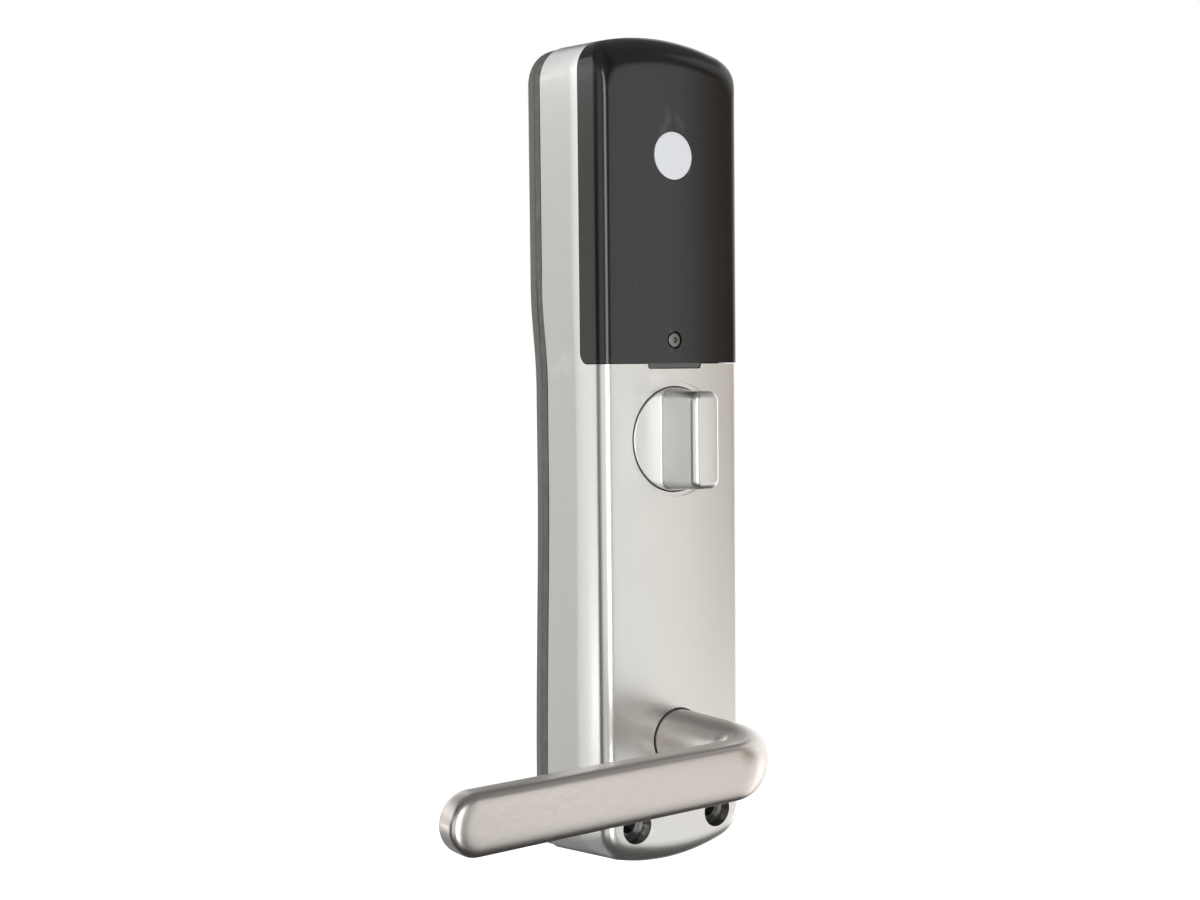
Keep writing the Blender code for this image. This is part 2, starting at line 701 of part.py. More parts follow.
def register_button(surface):
    """The programming button beside the radio module."""
    front = HOLDER_FRONT - 1.6 * MM
    profile = [
        (0, front),
        (2.2 * MM, front),
        (2.6 * MM, front + 0.4 * MM),
        (2.6 * MM, HOLDER_FRONT + 2.0 * MM),
        (3.8 * MM, HOLDER_FRONT + 2.0 * MM),
        (3.8 * MM, HOLDER_FRONT + 2.9 * MM),
        (1.4 * MM, HOLDER_FRONT + 2.9 * MM),
        (1.4 * MM, BOARD_FRONT - 3.6 * MM - BUTTON_TRAVEL - 0.2 * MM),
        (0, BOARD_FRONT - 3.6 * MM - BUTTON_TRAVEL - 0.2 * MM),
    ]
    return finished(turned("register_button", profile, (BUTTON_X, BUTTON_Z), 20), surface)


def push_switch(surface):
    """The switch under the programming button."""
    low = (BUTTON_X - 3 * MM, BOARD_FRONT - 2.6 * MM, BUTTON_Z - 3 * MM)
    high = (BUTTON_X + 3 * MM, BOARD_FRONT - GAP, BUTTON_Z + 3 * MM)
    base = block("push_switch", low, high)
    at = (BUTTON_X, BUTTON_Z)
    join(base, rod("stem", 1.5 * MM, BOARD_FRONT - 3.6 * MM, BOARD_FRONT - 1 * MM, at, 12))
    return finished(base, surface)


def battery(index, surface):
    """One AA cell, lying across the bay. Neighbours point opposite ways."""
    way = 1 if index % 2 == 0 else -1
    half = CELL_LENGTH / 2
    nub, shift = 1.2 * MM, 0.85 * MM
    profile = [
        (0, -half),
        (5 * MM, -half),
        (CELL_RADIUS, -half + 0.4 * MM),
        (CELL_RADIUS, half - nub - 0.5 * MM),
        (CELL_RADIUS - 0.6 * MM, half - nub),
        (2.7 * MM, half - nub),
        (2.7 * MM, half),
        (0, half),
    ]
    cell = turned(f"battery_{index + 1}", profile, (0, 0), 24)
    cell.data.transform(Matrix.Rotation(-way * math.pi / 2, 4, "Z"))
    cell.data.transform(Matrix.Translation((way * shift, CELL_Y, cell_z(index))))
    return finished(cell, surface)


def contact_plates(surface):
    """Sheet-metal contacts at the ends of the cells.

    Two bridges are on the right, and one bridge and two ends on the left.
    """
    spans = (
        ("right_low", 1, 0, 1),
        ("right_high", 1, 2, 3),
        ("left_low", -1, 0, 0),
        ("left_mid", -1, 1, 2),
        ("left_high", -1, 3, 3),
    )
    for label, side, first, last in spans:
        x0, x1 = sorted((side * CONTACT_X, side * (CONTACT_X - 0.4 * MM)))
        low = (x0, CELL_Y - 4 * MM, cell_z(first) - 5.5 * MM)
        high = (x1, CELL_Y + 5 * MM, cell_z(last) + 5.5 * MM)
        finished(block(f"contact_{label}", low, high), surface)


def contact_spring(index, surface):
    """The conical spring at a cell's negative end."""
    way = -1 if index % 2 == 0 else 1
    turns, steps = 2.5, 9
    start = CONTACT_X - 0.4 * MM - 0.3 * MM - 0.35 * MM
    length = 0.75 * MM
    points = []
    for i in range(round(turns * steps) + 1):
        share = i / (turns * steps)
        angle = 2 * math.pi * turns * share
        radius = 4.6 * MM - 2.9 * MM * share
        x = way * (start - length * share)
        points.append((x, CELL_Y + radius * math.cos(angle), cell_z(index) + radius * math.sin(angle)))
    return finished(wire(f"contact_spring_{index + 1}", points, 0.3 * MM), surface)


# ---------------------------------------------------------------- electronics

BOARD_FRONT = -15.6 * MM
BOARD_REAR = -14.0 * MM
BOARD_HALF = 24.5 * MM
BOARD_LOW = 80 * MM
BOARD_HIGH = 178 * MM
BOARD_POSTS = tuple((side * 20 * MM, z * MM) for side in (-1, 1) for z in (86, 168))


def main_board(surface):
    """The circuit board with its larger components."""
    centre = (0, (BOARD_LOW + BOARD_HIGH) / 2)
    outline = rounded_outline(BOARD_HALF, (BOARD_HIGH - BOARD_LOW) / 2, 3 * MM, centre, 2)
    board = extruded("main_board", outline, BOARD_FRONT, BOARD_REAR)
    # Middle X, middle Z, half width, half height and height above the board, in millimetres.
    chips = (
        (-8, 150, 5, 5, 1.2),
        (6, 148, 3, 4, 1.4),
        (-10, 126, 4, 3, 1.6),
        (8, 122, 4, 6, 2.4),
        (-4, 108, 6, 3, 1.5),
    )
    parts = []
    for x, z, half_x, half_z, tall in chips:
        low = ((x - half_x) * MM, BOARD_FRONT - tall * MM, (z - half_z) * MM)
        high = ((x + half_x) * MM, BOARD_FRONT + 0.5 * MM, (z + half_z) * MM)
        parts.append(block("chip", low, high))
    at = (-12 * MM, 112 * MM)
    parts.append(rod("capacitor", 4 * MM, BOARD_REAR - 0.5 * MM, BOARD_REAR + 6 * MM, at, 16))
    join(board, *parts)
    return finished(board, surface)


def cable_socket(surface):
    """The socket on the board's rear for the cable from the outside unit."""
    z = CABLE_Z
    low, high = (-7 * MM, BOARD_REAR + GAP, z - 3.5 * MM), (7 * MM, -8 * MM, z + 3.5 * MM)
    socket = block("cable_socket", low, high)
    cut(socket, block("mouth", (-6 * MM, -12.5 * MM, z - 2.5 * MM), (6 * MM, 0, z + 2.5 * MM)))
    return finished(socket, surface)


def radio_module(surface):
    """The plug-in radio module beside the programming button."""
    low = (-19 * MM, HOLDER_FRONT - 0.6 * MM, cell_z(3) + CELL_PITCH / 2 + 3.3 * MM)
    high = (9 * MM, HOLDER_FLOOR - 0.8 * MM, HOLDER_TOP - 2.1 * MM)
    module = block("radio_module", low, high)
    grip_low = (-8 * MM, HOLDER_FRONT - 5 * MM, high[2] - 4 * MM)
    grip_high = (-2 * MM, HOLDER_FRONT + 0.6 * MM, high[2] + 5 * MM)
    cut(module, block("grip", grip_low, grip_high))
    return finished(module, surface)


SPEAKER_Z = -9 * MM


def speaker(surface):
    """The small loudspeaker for spoken prompts."""
    y = PLATE_REAR
    profile = [
        (0, y + GAP),
        (9 * MM, y + GAP),
        (9 * MM, y + 2.2 * MM),
        (6 * MM, y + 2.6 * MM),
        (6 * MM, y + 4.6 * MM),
        (0, y + 4.6 * MM),
    ]
    return finished(turned("speaker", profile, (0, SPEAKER_Z), 24), surface)


def motor_lead(surface):
    """The pair of leads from the motor to the board, held along the chassis."""
    route = [
        (9.9, -15.0, 8.0), (12.0, -15.2, 9.5), (14.6, -15.4, 14.0), (17.0, -15.4, 20.0),
        (18.8, -15.2, 28.0), (19.6, -15.0, 38.0), (19.8, -14.6, 50.0), (20.4, -12.8, 60.0),
        (19.85, -11.2, 66.0), (19.85, -11.0, 76.0), (19.0, -11.0, 80.0), (16.5, -11.4, 82.5),
        (12.0, -12.0, 85.0), (10.0, -12.6, 88.0),
    ]
    return finished(wire("motor_lead", [Vector(p) * MM for p in route], 0.9 * MM), surface)


# ---------------------------------------------------------------- thumb turn and motor drive

PLATE_FRONT = -33.0 * MM
PLATE_REAR = -30.8 * MM
FRAME_POSTS = tuple((side * 15.5 * MM, z * MM) for side in (-1, 1) for z in (-18, 71.0))
THUMB_BUSH = 11.0 * MM
THUMB_HUB = 8.0 * MM
SHAFT = 3.5 * MM


def gearbox_plate(surface):
    """The frame that carries the thumb turn's bush, the idler's pin and the speaker."""
    outline = rounded_outline(19 * MM, 49 * MM, 4 * MM, (0, 26.5 * MM), 3)
    plate = extruded("gearbox_plate", outline, PLATE_FRONT, PLATE_REAR)
    holes = [
        rod("hole", THUMB_BUSH + GAP, -50 * MM, 0, (0, THUMB_Z), 28),
        rod("hole", 1.8 * MM, -50 * MM, 0, (0, IDLER_Z), 12),
        rod("hole", 5 * MM, -50 * MM, 0, (0, SPEAKER_Z), 16),
        rod("hole", 3 * MM, -50 * MM, 0, (0, MOTOR_Z), 12),
    ]
    holes += [rod("hole", 1.4 * MM, -50 * MM, 0, at, 10) for at in FRAME_POSTS]
    cut(plate, *holes)
    return finished(plate, surface)


def thumb_turn(surface):
    """The round plate and the finger grip, cast in one."""
    front = -DEPTH
    profile = [
        (0, front + 3.2 * MM),
        (THUMB_HUB, front + 3.2 * MM),
        (THUMB_DISC, front + 3.2 * MM),
        (THUMB_DISC, front + 0.5 * MM),
        (THUMB_DISC - 0.5 * MM, front),
        (0, front - 0.2 * MM),
    ]
    knob = turned("thumb_turn", profile, (0, THUMB_Z), 48)
    rings = []
    levels = ((-1.0, 0.0, 0.0), (0.92, 0.0, 0.0), (0.97, 0.35, 0.35), (1.0, 1.2, 1.2))
    for share, inset_x, inset_z in levels:
        reach = max(share, 0)
        half_x = GRIP_HALF_BASE + (GRIP_HALF_TIP - GRIP_HALF_BASE) * reach - inset_x * MM
        half_z = GRIP_HEIGHT_BASE + (GRIP_HEIGHT_TIP - GRIP_HEIGHT_BASE) * reach - inset_z * MM
        y = front + 1.5 * MM if share < 0 else front - GRIP_OUT * share
        outline = rounded_outline(half_x, half_z, GRIP_CORNER - inset_x * MM * 0.6, (0, THUMB_Z), 4)
        rings.append([(x, y, z) for x, z in outline])
    join(knob, lofted("grip", rings))
    hub = rod("hub", THUMB_HUB, front + 2.5 * MM, PLATE_REAR + 1.2 * MM, (0, THUMB_Z), 32)
    join(knob, hub)
    cut(knob, rod("bore", SHAFT + GAP, -36 * MM, 0, (0, THUMB_Z), 20))
    return finished(knob, surface)


def thumb_bush(surface):
    """The bearing bush in the gearbox plate."""
    profile = [
        (THUMB_HUB + 0.3 * MM, -36.4 * MM),
        (THUMB_BUSH + 2 * MM, -36.4 * MM),
        (THUMB_BUSH + 2 * MM, PLATE_FRONT - GAP),
        (THUMB_BUSH, PLATE_FRONT - GAP),
        (THUMB_BUSH, PLATE_REAR),
        (THUMB_HUB + 0.3 * MM, PLATE_REAR),
    ]
    return finished(turned("thumb_bush", profile, (0, THUMB_Z), 28), surface)


def thumb_shaft(surface):
    """The turned shaft, with a slotted coupler at its rear end for the lock case's tail piece."""
    profile = [
        (0, -35.5 * MM),
        (SHAFT, -35.5 * MM),
        (SHAFT, -12 * MM),
        (7 * MM, -12 * MM),
        (7 * MM, -1.2 * MM),
        (0, -1.2 * MM),
    ]
    shaft = turned("thumb_shaft", profile, (0, THUMB_Z), 28)
    low, high = (-1.6 * MM, -9 * MM, THUMB_Z - 4.5 * MM), (1.6 * MM, 5 * MM, THUMB_Z + 4.5 * MM)
    cut(shaft, block("slot", low, high))
    return finished(shaft, surface)


def thumb_clip(surface):
    """The open retaining ring behind the thumb turn's hub."""
    clip = open_ring("thumb_clip", SHAFT + GAP, 6 * MM, -28.2 * MM, -27.3 * MM, (0, THUMB_Z))
    return finished(clip, surface)


def open_ring(name, inner, outer, y0, y1, centre):
    clip = ring(name, inner, outer, y0, y1, centre, 20)
    x, z = centre
    cut(clip, block("mouth", (x - 1.6 * MM, -1, z - outer * 2), (x + 1.6 * MM, 1, z)))
    return clip


def gear_outline(teeth, centre, start=0.0):
    """An involute spur gear's outline, thinned for running clearance. start turns it, in teeth."""
    pitch = MODULE * teeth / 2
    base = pitch * math.cos(math.radians(20))
    tip, root = pitch + 0.85 * MODULE, pitch - 1.15 * MODULE
    half_tooth = math.pi / (2 * teeth) - 0.12 * MODULE / pitch

    def involute(radius):
        angle = math.acos(min(1, base / radius))
        return math.tan(angle) - angle

    flank = []
    for share in (0.0, 0.5, 1.0):
        radius = root + (tip - root) * share
        flank.append((radius, half_tooth + involute(pitch) - involute(max(radius, base))))
    points = []
    for tooth in range(teeth):
        middle = 2 * math.pi * (tooth + start) / teeth + math.pi / 2
        for radius, half in flank:
            points.append((radius, middle - half))
        for radius, half in reversed(flank):
            points.append((radius, middle + half))
    return [(centre[0] + r * math.cos(a), centre[1] + r * math.sin(a)) for r, a in points]


def drive_gear(surface):
    gear = extruded("drive_gear", gear_outline(DRIVE_TEETH, (0, THUMB_Z), 0.0), -20 * MM, -15 * MM)
    join(gear, rod("hub", 6 * MM, -22 * MM, -13 * MM, (0, THUMB_Z), 20))
    cut(gear, rod("bore", SHAFT + GAP, -50 * MM, 0, (0, THUMB_Z), 20))
    return finished(gear, surface)


def idler_gear(surface):
    """The compound gear between the motor and the drive gear."""
    # A tooth of the drive gear points straight down at the idler, so the idler's pinion has a gap there.
    outline = gear_outline(IDLER_PINION_TEETH, (0, IDLER_Z), 0.5)
    pinion = extruded("idler_gear", outline, -22.5 * MM, -14 * MM)
    wheel = extruded("wheel", gear_outline(IDLER_WHEEL_TEETH, (0, IDLER_Z), 0.0), -26 * MM, -22 * MM)
    join(pinion, wheel)
    cut(pinion, rod("bore", 1.85 * MM, -50 * MM, 0, (0, IDLER_Z), 16))
    return finished(pinion, surface)


def idler_pin(surface):
    return finished(rod("idler_pin", 1.5 * MM, -32.4 * MM, -7.7 * MM, (0, IDLER_Z), 16), surface)


def motor_pinion(surface):
    pinion = extruded("motor_pinion", gear_outline(MOTOR_TEETH, (0, MOTOR_Z), 0.5), -27 * MM, -21.5 * MM)
    cut(pinion, rod("bore", 1.3 * MM, -50 * MM, 0, (0, MOTOR_Z), 12))
    return finished(pinion, surface)


def motor_shaft(surface):
    return finished(rod("motor_shaft", 1.0 * MM, -28 * MM, -18.5 * MM, (0, MOTOR_Z), 12), surface)


def motor(surface):
    """The direct-current motor that turns the lock case."""
    profile = [
        (1.3 * MM, -20.8 * MM),
        (3 * MM, -20.8 * MM),
        (3 * MM, -20 * MM),
        (8 * MM, -20 * MM),
        (8 * MM, -7 * MM),
        (3 * MM, -7 * MM),
        (3 * MM, -8 * MM),
        (0, -8 * MM),
    ]
    can = turned("motor", [(0, -18.2 * MM), (1.3 * MM, -18.2 * MM)] + profile, (0, MOTOR_Z), 24)
    return finished(can, surface)


# ---------------------------------------------------------------- lever handle and its return spring

CASSETTE_RADIUS = 22.5 * MM
CASSETTE_FLOOR = -10.5 * MM
CASSETTE_REAR = -8.5 * MM
CASSETTE_FRONT = -29 * MM
CASSETTE_SCREWS = [(side * 17.6 * MM, LEVER_Z) for side in (-1, 1)]
HUB = 9.0 * MM
HUB_FRONT = -32.6 * MM
HUB_REAR = -4.6 * MM
SPRING_RADIUS = 12.6 * MM


def edge_drop(distance, half_thick, radius):
    """Half the thickness of a slab with rounded edges, at a distance inside its outline."""
    short = radius - min(max(distance, 0.0), radius)
    return half_thick - radius + math.sqrt(radius * radius - short * short)


def lever_section(centre, across, ease, half_high, beyond, drop, sides=20):
    """One ring of the lever: round at the neck (ease 0), a slab with rounded edges along the bar (ease 1).

    beyond is how far the ring lies past the centre of the bar's round end.
    """
    points = []
    top = math.sin(math.pi / 2 - math.pi / sides)
    for i in range(sides):
        angle = 2 * math.pi * (i + 0.5) / sides
        c, s = math.cos(angle), math.sin(angle)
        v = half_high * max(-1.0, min(1.0, s / top))
        reach = math.hypot(beyond, v * LEVER_HEIGHT / 2 / max(half_high, LEVER_HEIGHT / 2))
        inside = LEVER_HEIGHT / 2 - reach
        slab = math.copysign(edge_drop(inside, LEVER_THICK / 2, LEVER_EDGE), c)
        u = NECK * c * (1 - ease) + slab * ease
        w = NECK * s * (1 - ease) + v * ease
        points.append((centre[0] + across[0] * u, centre[1] + across[1] * u, LEVER_Z - drop + w))
    return points


def lever_rings(sides=20, bend_steps=8, tip_angles=(0, 20, 40, 56, 70, 80, 86)):
    """The lever's rings from the neck's root to its tip."""
    straight = (1.0, 0.0)
    neck = (-33.0 * MM, -DEPTH - 8 * MM)
    rings = [lever_section((0, y), straight, 0.0, NECK, 0.0, 0.0, sides) for y in neck]
    middle = -DEPTH - LEVER_BACK - LEVER_THICK / 2
    for i in range(bend_steps + 1):
        share = i / bend_steps
        angle = math.pi / 2 * share
        centre = (-LEVER_BEND * (1 - math.cos(angle)), middle + LEVER_BEND * (1 - math.sin(angle)))
        ease = share * share * (3 - 2 * share)
        across = (math.cos(angle), -math.sin(angle))
        rings.append(lever_section(centre, across, ease, LEVER_HEIGHT / 2, 0.0, LEVER_DROP * ease, sides))
    outwards = (0.0, -1.0)
    radius = LEVER_HEIGHT / 2
    for share in (0.25, 0.5, 0.75):
        x = -LEVER_BEND - (LEVER_LENGTH - LEVER_BEND - radius) * share
        rings.append(lever_section((x, middle), outwards, 1.0, radius, 0.0, LEVER_DROP, sides))
    for degrees in tip_angles:
        turn = math.radians(degrees)
        beyond = radius * math.sin(turn)
        x = -LEVER_LENGTH + radius - beyond
        half_high = radius * math.cos(turn)
        rings.append(lever_section((x, middle), outwards, 1.0, half_high, beyond, LEVER_DROP, sides))
    return rings


def lever_handle(surface):
    handle = lofted("lever_handle", lever_rings())
    half = SPINDLE / 2 + GAP
    socket = block("socket", (-half, -DEPTH - 10 * MM, LEVER_Z - half), (half, 0, LEVER_Z + half))
    grub = rod("grub", 2.5 * MM, 0, 20 * MM, (0, 0), 12)
    grub.data.transform(Matrix.Translation((0, GRUB_Y, LEVER_Z)) @ Matrix.Rotation(-math.pi / 2, 4, "X"))
    cut(handle, socket, grub)
    return finished(handle, surface)


GRUB_Y = -46.5 * MM


def lever_grub_screw(surface):
    """The set screw under the lever's neck that grips the spindle."""
    end = 9.4 * MM
    screw = rod("lever_grub_screw", 2.2 * MM, 4.3 * MM, end, (0, 0), 12)
    cut(screw, rod("socket", 1.2 * MM, end - 2 * MM, end + 2 * MM, (0, 0), 6))
    screw.data.transform(Matrix.Translation((0, GRUB_Y, LEVER_Z)) @ Matrix.Rotation(-math.pi / 2, 4, "X"))
    return finished(screw, surface)


def lever_spindle(surface):
    half = SPINDLE / 2
    outline = rounded_outline(half, half, 0.6 * MM, (0, LEVER_Z), 1)
    small = rounded_outline(half - 0.8 * MM, half - 0.8 * MM, 0.4 * MM, (0, LEVER_Z), 1)
    levels = ((outline, -DEPTH - 8 * MM), (outline, SPINDLE_REAR - 1 * MM), (small, SPINDLE_REAR))
    bar = lofted("lever_spindle", [[(x, y, z) for x, z in points] for points, y in levels])
    return finished(bar, surface)


def lever_bush(surface):
    """The bearing ring behind the front wall."""
    profile = [
        (NECK + 0.4 * MM, -38.2 * MM),
        (15 * MM, -38.2 * MM),
        (15 * MM, -36.4 * MM),
        (13 * MM, -36.4 * MM),
        (13 * MM, -33.2 * MM),
        (NECK + 0.4 * MM, -33.2 * MM),
    ]
    return finished(turned("lever_bush", profile, (0, LEVER_Z), 28), surface)


def lever_hub(surface):
    """The follower that the spring turns back, with its stop lug."""
    groove = (-7.9 * MM, -7.0 * MM)
    profile = [
        (0, HUB_FRONT),
        (HUB, HUB_FRONT),
        (HUB, groove[0]),
        (HUB - 1 * MM, groove[0]),
        (HUB - 1 * MM, groove[1]),
        (HUB, groove[1]),
        (HUB, HUB_REAR),
        (0, HUB_REAR),
    ]
    hub = turned("lever_hub", profile, (0, LEVER_Z), 28)
    join(hub, sector("lug", HUB - 1.5 * MM, 16 * MM, 79, 101, -14 * MM, CASSETTE_FLOOR - GAP))
    half = SPINDLE / 2 + GAP
    cut(hub, block("square", (-half, -1, LEVER_Z - half), (half, 1, LEVER_Z + half)))
    return finished(hub, surface)


def sector(name, inner, outer, start, end, y0, y1):
    """A piece of a ring about the lever's axis, between two angles in degrees."""
    angles = [math.radians(start + (end - start) * i / 4) for i in range(5)]
    outline = [(outer * math.cos(a), LEVER_Z + outer * math.sin(a)) for a in angles]
    outline += [(inner * math.cos(a), LEVER_Z + inner * math.sin(a)) for a in reversed(angles)]
    return extruded(name, outline, y0, y1)


def spring_cassette(surface):
    """The cup that holds the return spring and the stops at each end of the lever's travel."""
    profile = [
        (HUB + 0.5 * MM, CASSETTE_FLOOR),
        (CASSETTE_RADIUS - 1.8 * MM, CASSETTE_FLOOR),
        (CASSETTE_RADIUS - 1.8 * MM, CASSETTE_FRONT),
        (CASSETTE_RADIUS, CASSETTE_FRONT),
        (CASSETTE_RADIUS, CASSETTE_REAR),
        (HUB + 0.5 * MM, CASSETTE_REAR),
    ]
    cup = turned("spring_cassette", profile, (0, LEVER_Z), 36)
    for start, end in ((58, 76.5), (149, 166)):
        outer, floor = CASSETTE_RADIUS - 1 * MM, CASSETTE_FLOOR + 1 * MM
        join(cup, sector("stop", 11 * MM, outer, start, end, -13.5 * MM, floor))
    cut(cup, *[rod("hole", 1.6 * MM, -50 * MM, 0, at, 10) for at in CASSETTE_SCREWS])
    return finished(cup, surface)


def cassette_lid(surface):
    rear = CASSETTE_FRONT - GAP
    lid = ring("cassette_lid", HUB + 0.5 * MM, CASSETTE_RADIUS, -30.8 * MM, rear, (0, LEVER_Z), 36)
    return finished(lid, surface)


def return_spring(surface):
    """The torsion spring round the hub, with a straight leg at each end."""
    turns, steps = 4, 11
    first, last = -26.5 * MM, -16.5 * MM
    leg_end, leg_root = LEVER_Z + SPRING_RADIUS + 5.5 * MM, LEVER_Z + SPRING_RADIUS + 2 * MM
    points = [
        (SPRING_RADIUS * 0.2, first - 0.2 * MM, leg_end),
        (SPRING_RADIUS * 0.1, first - 0.1 * MM, leg_root),
    ]
    total = turns * steps
    for i in range(total + 1):
        angle = math.pi / 2 - 2 * math.pi * i / steps
        y = first + (last - first) * i / total
        points.append((SPRING_RADIUS * math.cos(angle), y, LEVER_Z + SPRING_RADIUS * math.sin(angle)))
    points += [(-SPRING_RADIUS * 0.1, last, leg_root), (-SPRING_RADIUS * 0.2, last, leg_end)]
    return finished(wire("return_spring", points, 0.9 * MM), surface)


def lever_clip(surface):
    """The open retaining ring in the hub's groove."""
    clip = open_ring("lever_clip", HUB - 0.7 * MM, 12 * MM, -7.7 * MM, -7.2 * MM, (0, LEVER_Z))
    return finished(clip, surface)


# ---------------------------------------------------------------- assembly

def build():
    clear_scene()
    silver = material("satin_silver", (0.62, 0.61, 0.58), 0.32, 0.75)
    nickel = material("satin_nickel", (0.55, 0.51, 0.48), 0.28, 0.9)
    black = material("black_plastic", (0.035, 0.034, 0.032), 0.38, 0.0)
    grey = material("grey_plastic", (0.09, 0.09, 0.085), 0.5, 0.0)
    rubber = material("rubber", (0.12, 0.12, 0.11), 0.7, 0.0)
    steel = material("zinc_steel", (0.55, 0.56, 0.57), 0.35, 1.0)
    white = material("white_print", (0.85, 0.85, 0.86), 0.35, 0.0)
    nylon = material("nylon", (0.8, 0.78, 0.7), 0.5, 0.0)
    green = material("circuit_board", (0.03, 0.16, 0.07), 0.45, 0.0)
    cell = material("battery_wrap", (0.12, 0.13, 0.14), 0.3, 0.3)
    foam = material("foam", (0.05, 0.05, 0.05), 0.9, 0.0)
    red = material("red_plastic", (0.5, 0.05, 0.04), 0.4, 0.0)

    front_housing(silver)
    chassis(grey)
    mounting_plate(steel)
    door_gasket(rubber)
    gearbox_plate(grey)
    battery_holder(black)
    for index in range(4):
        battery(index, cell)
        contact_spring(index, steel)
    contact_plates(steel)
    main_board(green)
    cable_socket(white)
    radio_module(grey)
    push_switch(steel)
    speaker(black)
    motor(steel)
    motor_lead(red)
    idler_pin(steel)
    thumb_bush(nylon)
    lever_bush(nylon)
    spring_cassette(grey)
    cassette_lid(steel)
    return_spring(steel)

    for number, at in enumerate(FRAME_POSTS, 1):
        pan_screw(f"frame_screw_{number}", steel, at, PLATE_FRONT - GAP, -1, 9 * MM, shank=0.8 * MM)
    sizes = {"head": 2.7 * MM, "shank": 0.95 * MM, "head_height": 0.8 * MM}
    for number, at in enumerate(BOSSES, 1):
        pan_screw(f"housing_screw_{number}", steel, at, CHASSIS_REAR - 0.9 * MM, 1, 14 * MM, **sizes)
    for number, at in enumerate(CASSETTE_SCREWS, 1):
        seat = CASSETTE_FLOOR - GAP
        pan_screw(f"cassette_screw_{number}", steel, at, seat, -1, 5.5 * MM, head=2.6 * MM)

    cover_parts = [battery_cover(black), cover_screw(steel), cover_badge(white), cover_pad(foam)]
    group("cover_pivot", (0, -DEPTH, BADGE_Z), cover_parts)
    group("button_pivot", (BUTTON_X, HOLDER_FRONT, BUTTON_Z), [register_button(red)])
    thumb_parts = [thumb_turn(silver), thumb_shaft(steel), thumb_clip(steel), drive_gear(nylon)]
    group("thumb_pivot", (0, 0, THUMB_Z), thumb_parts)
    group("idler_pivot", (0, 0, IDLER_Z), [idler_gear(nylon)])
    group("motor_pivot", (0, 0, MOTOR_Z), [motor_pinion(steel), motor_shaft(steel)])
    lever_parts = [
        lever_handle(nickel),
        lever_spindle(steel),
        lever_hub(steel),
        lever_grub_screw(steel),
        lever_clip(steel),
    ]
    group("lever_pivot", (0, 0, LEVER_Z), lever_parts)
    for obj in bpy.data.objects:
        if obj.parent is None:
            obj.location.y -= DOOR


build()
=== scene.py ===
"""Looks for the interior unit of an electronic door lock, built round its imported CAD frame.

The visible casing is modelled again at a fine resolution: housing, gasket, battery cover,
badge, cover screw, thumb turn and lever. The chassis and everything inside keep their CAD shape
and get a detailed material.

Depths are laid out from the unit's own datum, DOOR in front of the door, as the CAD part does,
and each finished mesh is set on the door by place().
"""

import math

import bmesh
import bpy
from mathutils import Matrix, Vector
from mathutils.bvhtree import BVHTree
from mathutils.interpolate import poly_3d_calc

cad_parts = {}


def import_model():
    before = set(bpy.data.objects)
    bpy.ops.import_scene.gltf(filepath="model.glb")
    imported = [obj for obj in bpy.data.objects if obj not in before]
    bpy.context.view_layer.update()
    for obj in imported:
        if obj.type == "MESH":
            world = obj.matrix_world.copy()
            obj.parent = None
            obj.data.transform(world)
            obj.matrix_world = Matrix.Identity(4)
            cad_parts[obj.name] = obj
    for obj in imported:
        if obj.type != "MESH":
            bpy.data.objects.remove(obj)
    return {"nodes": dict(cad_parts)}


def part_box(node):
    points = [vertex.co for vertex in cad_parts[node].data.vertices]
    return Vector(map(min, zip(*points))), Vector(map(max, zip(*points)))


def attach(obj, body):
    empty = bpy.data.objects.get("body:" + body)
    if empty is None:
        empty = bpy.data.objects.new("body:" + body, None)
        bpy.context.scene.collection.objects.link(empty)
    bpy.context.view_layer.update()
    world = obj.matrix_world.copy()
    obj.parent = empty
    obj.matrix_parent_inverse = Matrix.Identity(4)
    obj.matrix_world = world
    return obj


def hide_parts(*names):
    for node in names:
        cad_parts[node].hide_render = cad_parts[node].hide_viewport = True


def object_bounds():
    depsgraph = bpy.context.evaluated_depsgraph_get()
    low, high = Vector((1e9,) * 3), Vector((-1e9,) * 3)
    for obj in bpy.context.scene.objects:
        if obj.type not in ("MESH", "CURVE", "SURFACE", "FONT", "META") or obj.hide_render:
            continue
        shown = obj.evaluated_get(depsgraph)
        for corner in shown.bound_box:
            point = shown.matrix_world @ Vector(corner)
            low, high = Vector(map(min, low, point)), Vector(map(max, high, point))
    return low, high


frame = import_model()
cad_low, cad_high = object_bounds()

MM = 0.001


def centre_of(node):
    low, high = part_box(node)
    return (low + high) / 2


# ---------------------------------------------------------------- dimensions

SHELL_LOW, SHELL_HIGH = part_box("front_housing")
DOOR = 2.1 * MM
GAP = 0.3 * MM
WIDTH = SHELL_HIGH.x - SHELL_LOW.x
DEPTH = -SHELL_LOW.y - DOOR
THUMB_Z = centre_of("thumb_shaft").z
LEVER_Z = centre_of("lever_spindle").z
BADGE_Z = centre_of("cover_badge").z
COVER_SCREW_Z = centre_of("cover_screw").z

# The front: how far it is crowned, and the width of its rounded edge at the sides and the ends
CROWN = 1.0 * MM
SIDE_EDGE = 4.0 * MM
TOP_EDGE = 11 * MM
BOTTOM_EDGE = 8.1 * MM
TOP_ARC = 94.5 * MM
BOTTOM_ARC = 85 * MM
FRONT_TOP_Z, FRONT_FOOT_Z = 191.8 * MM, -96.6 * MM
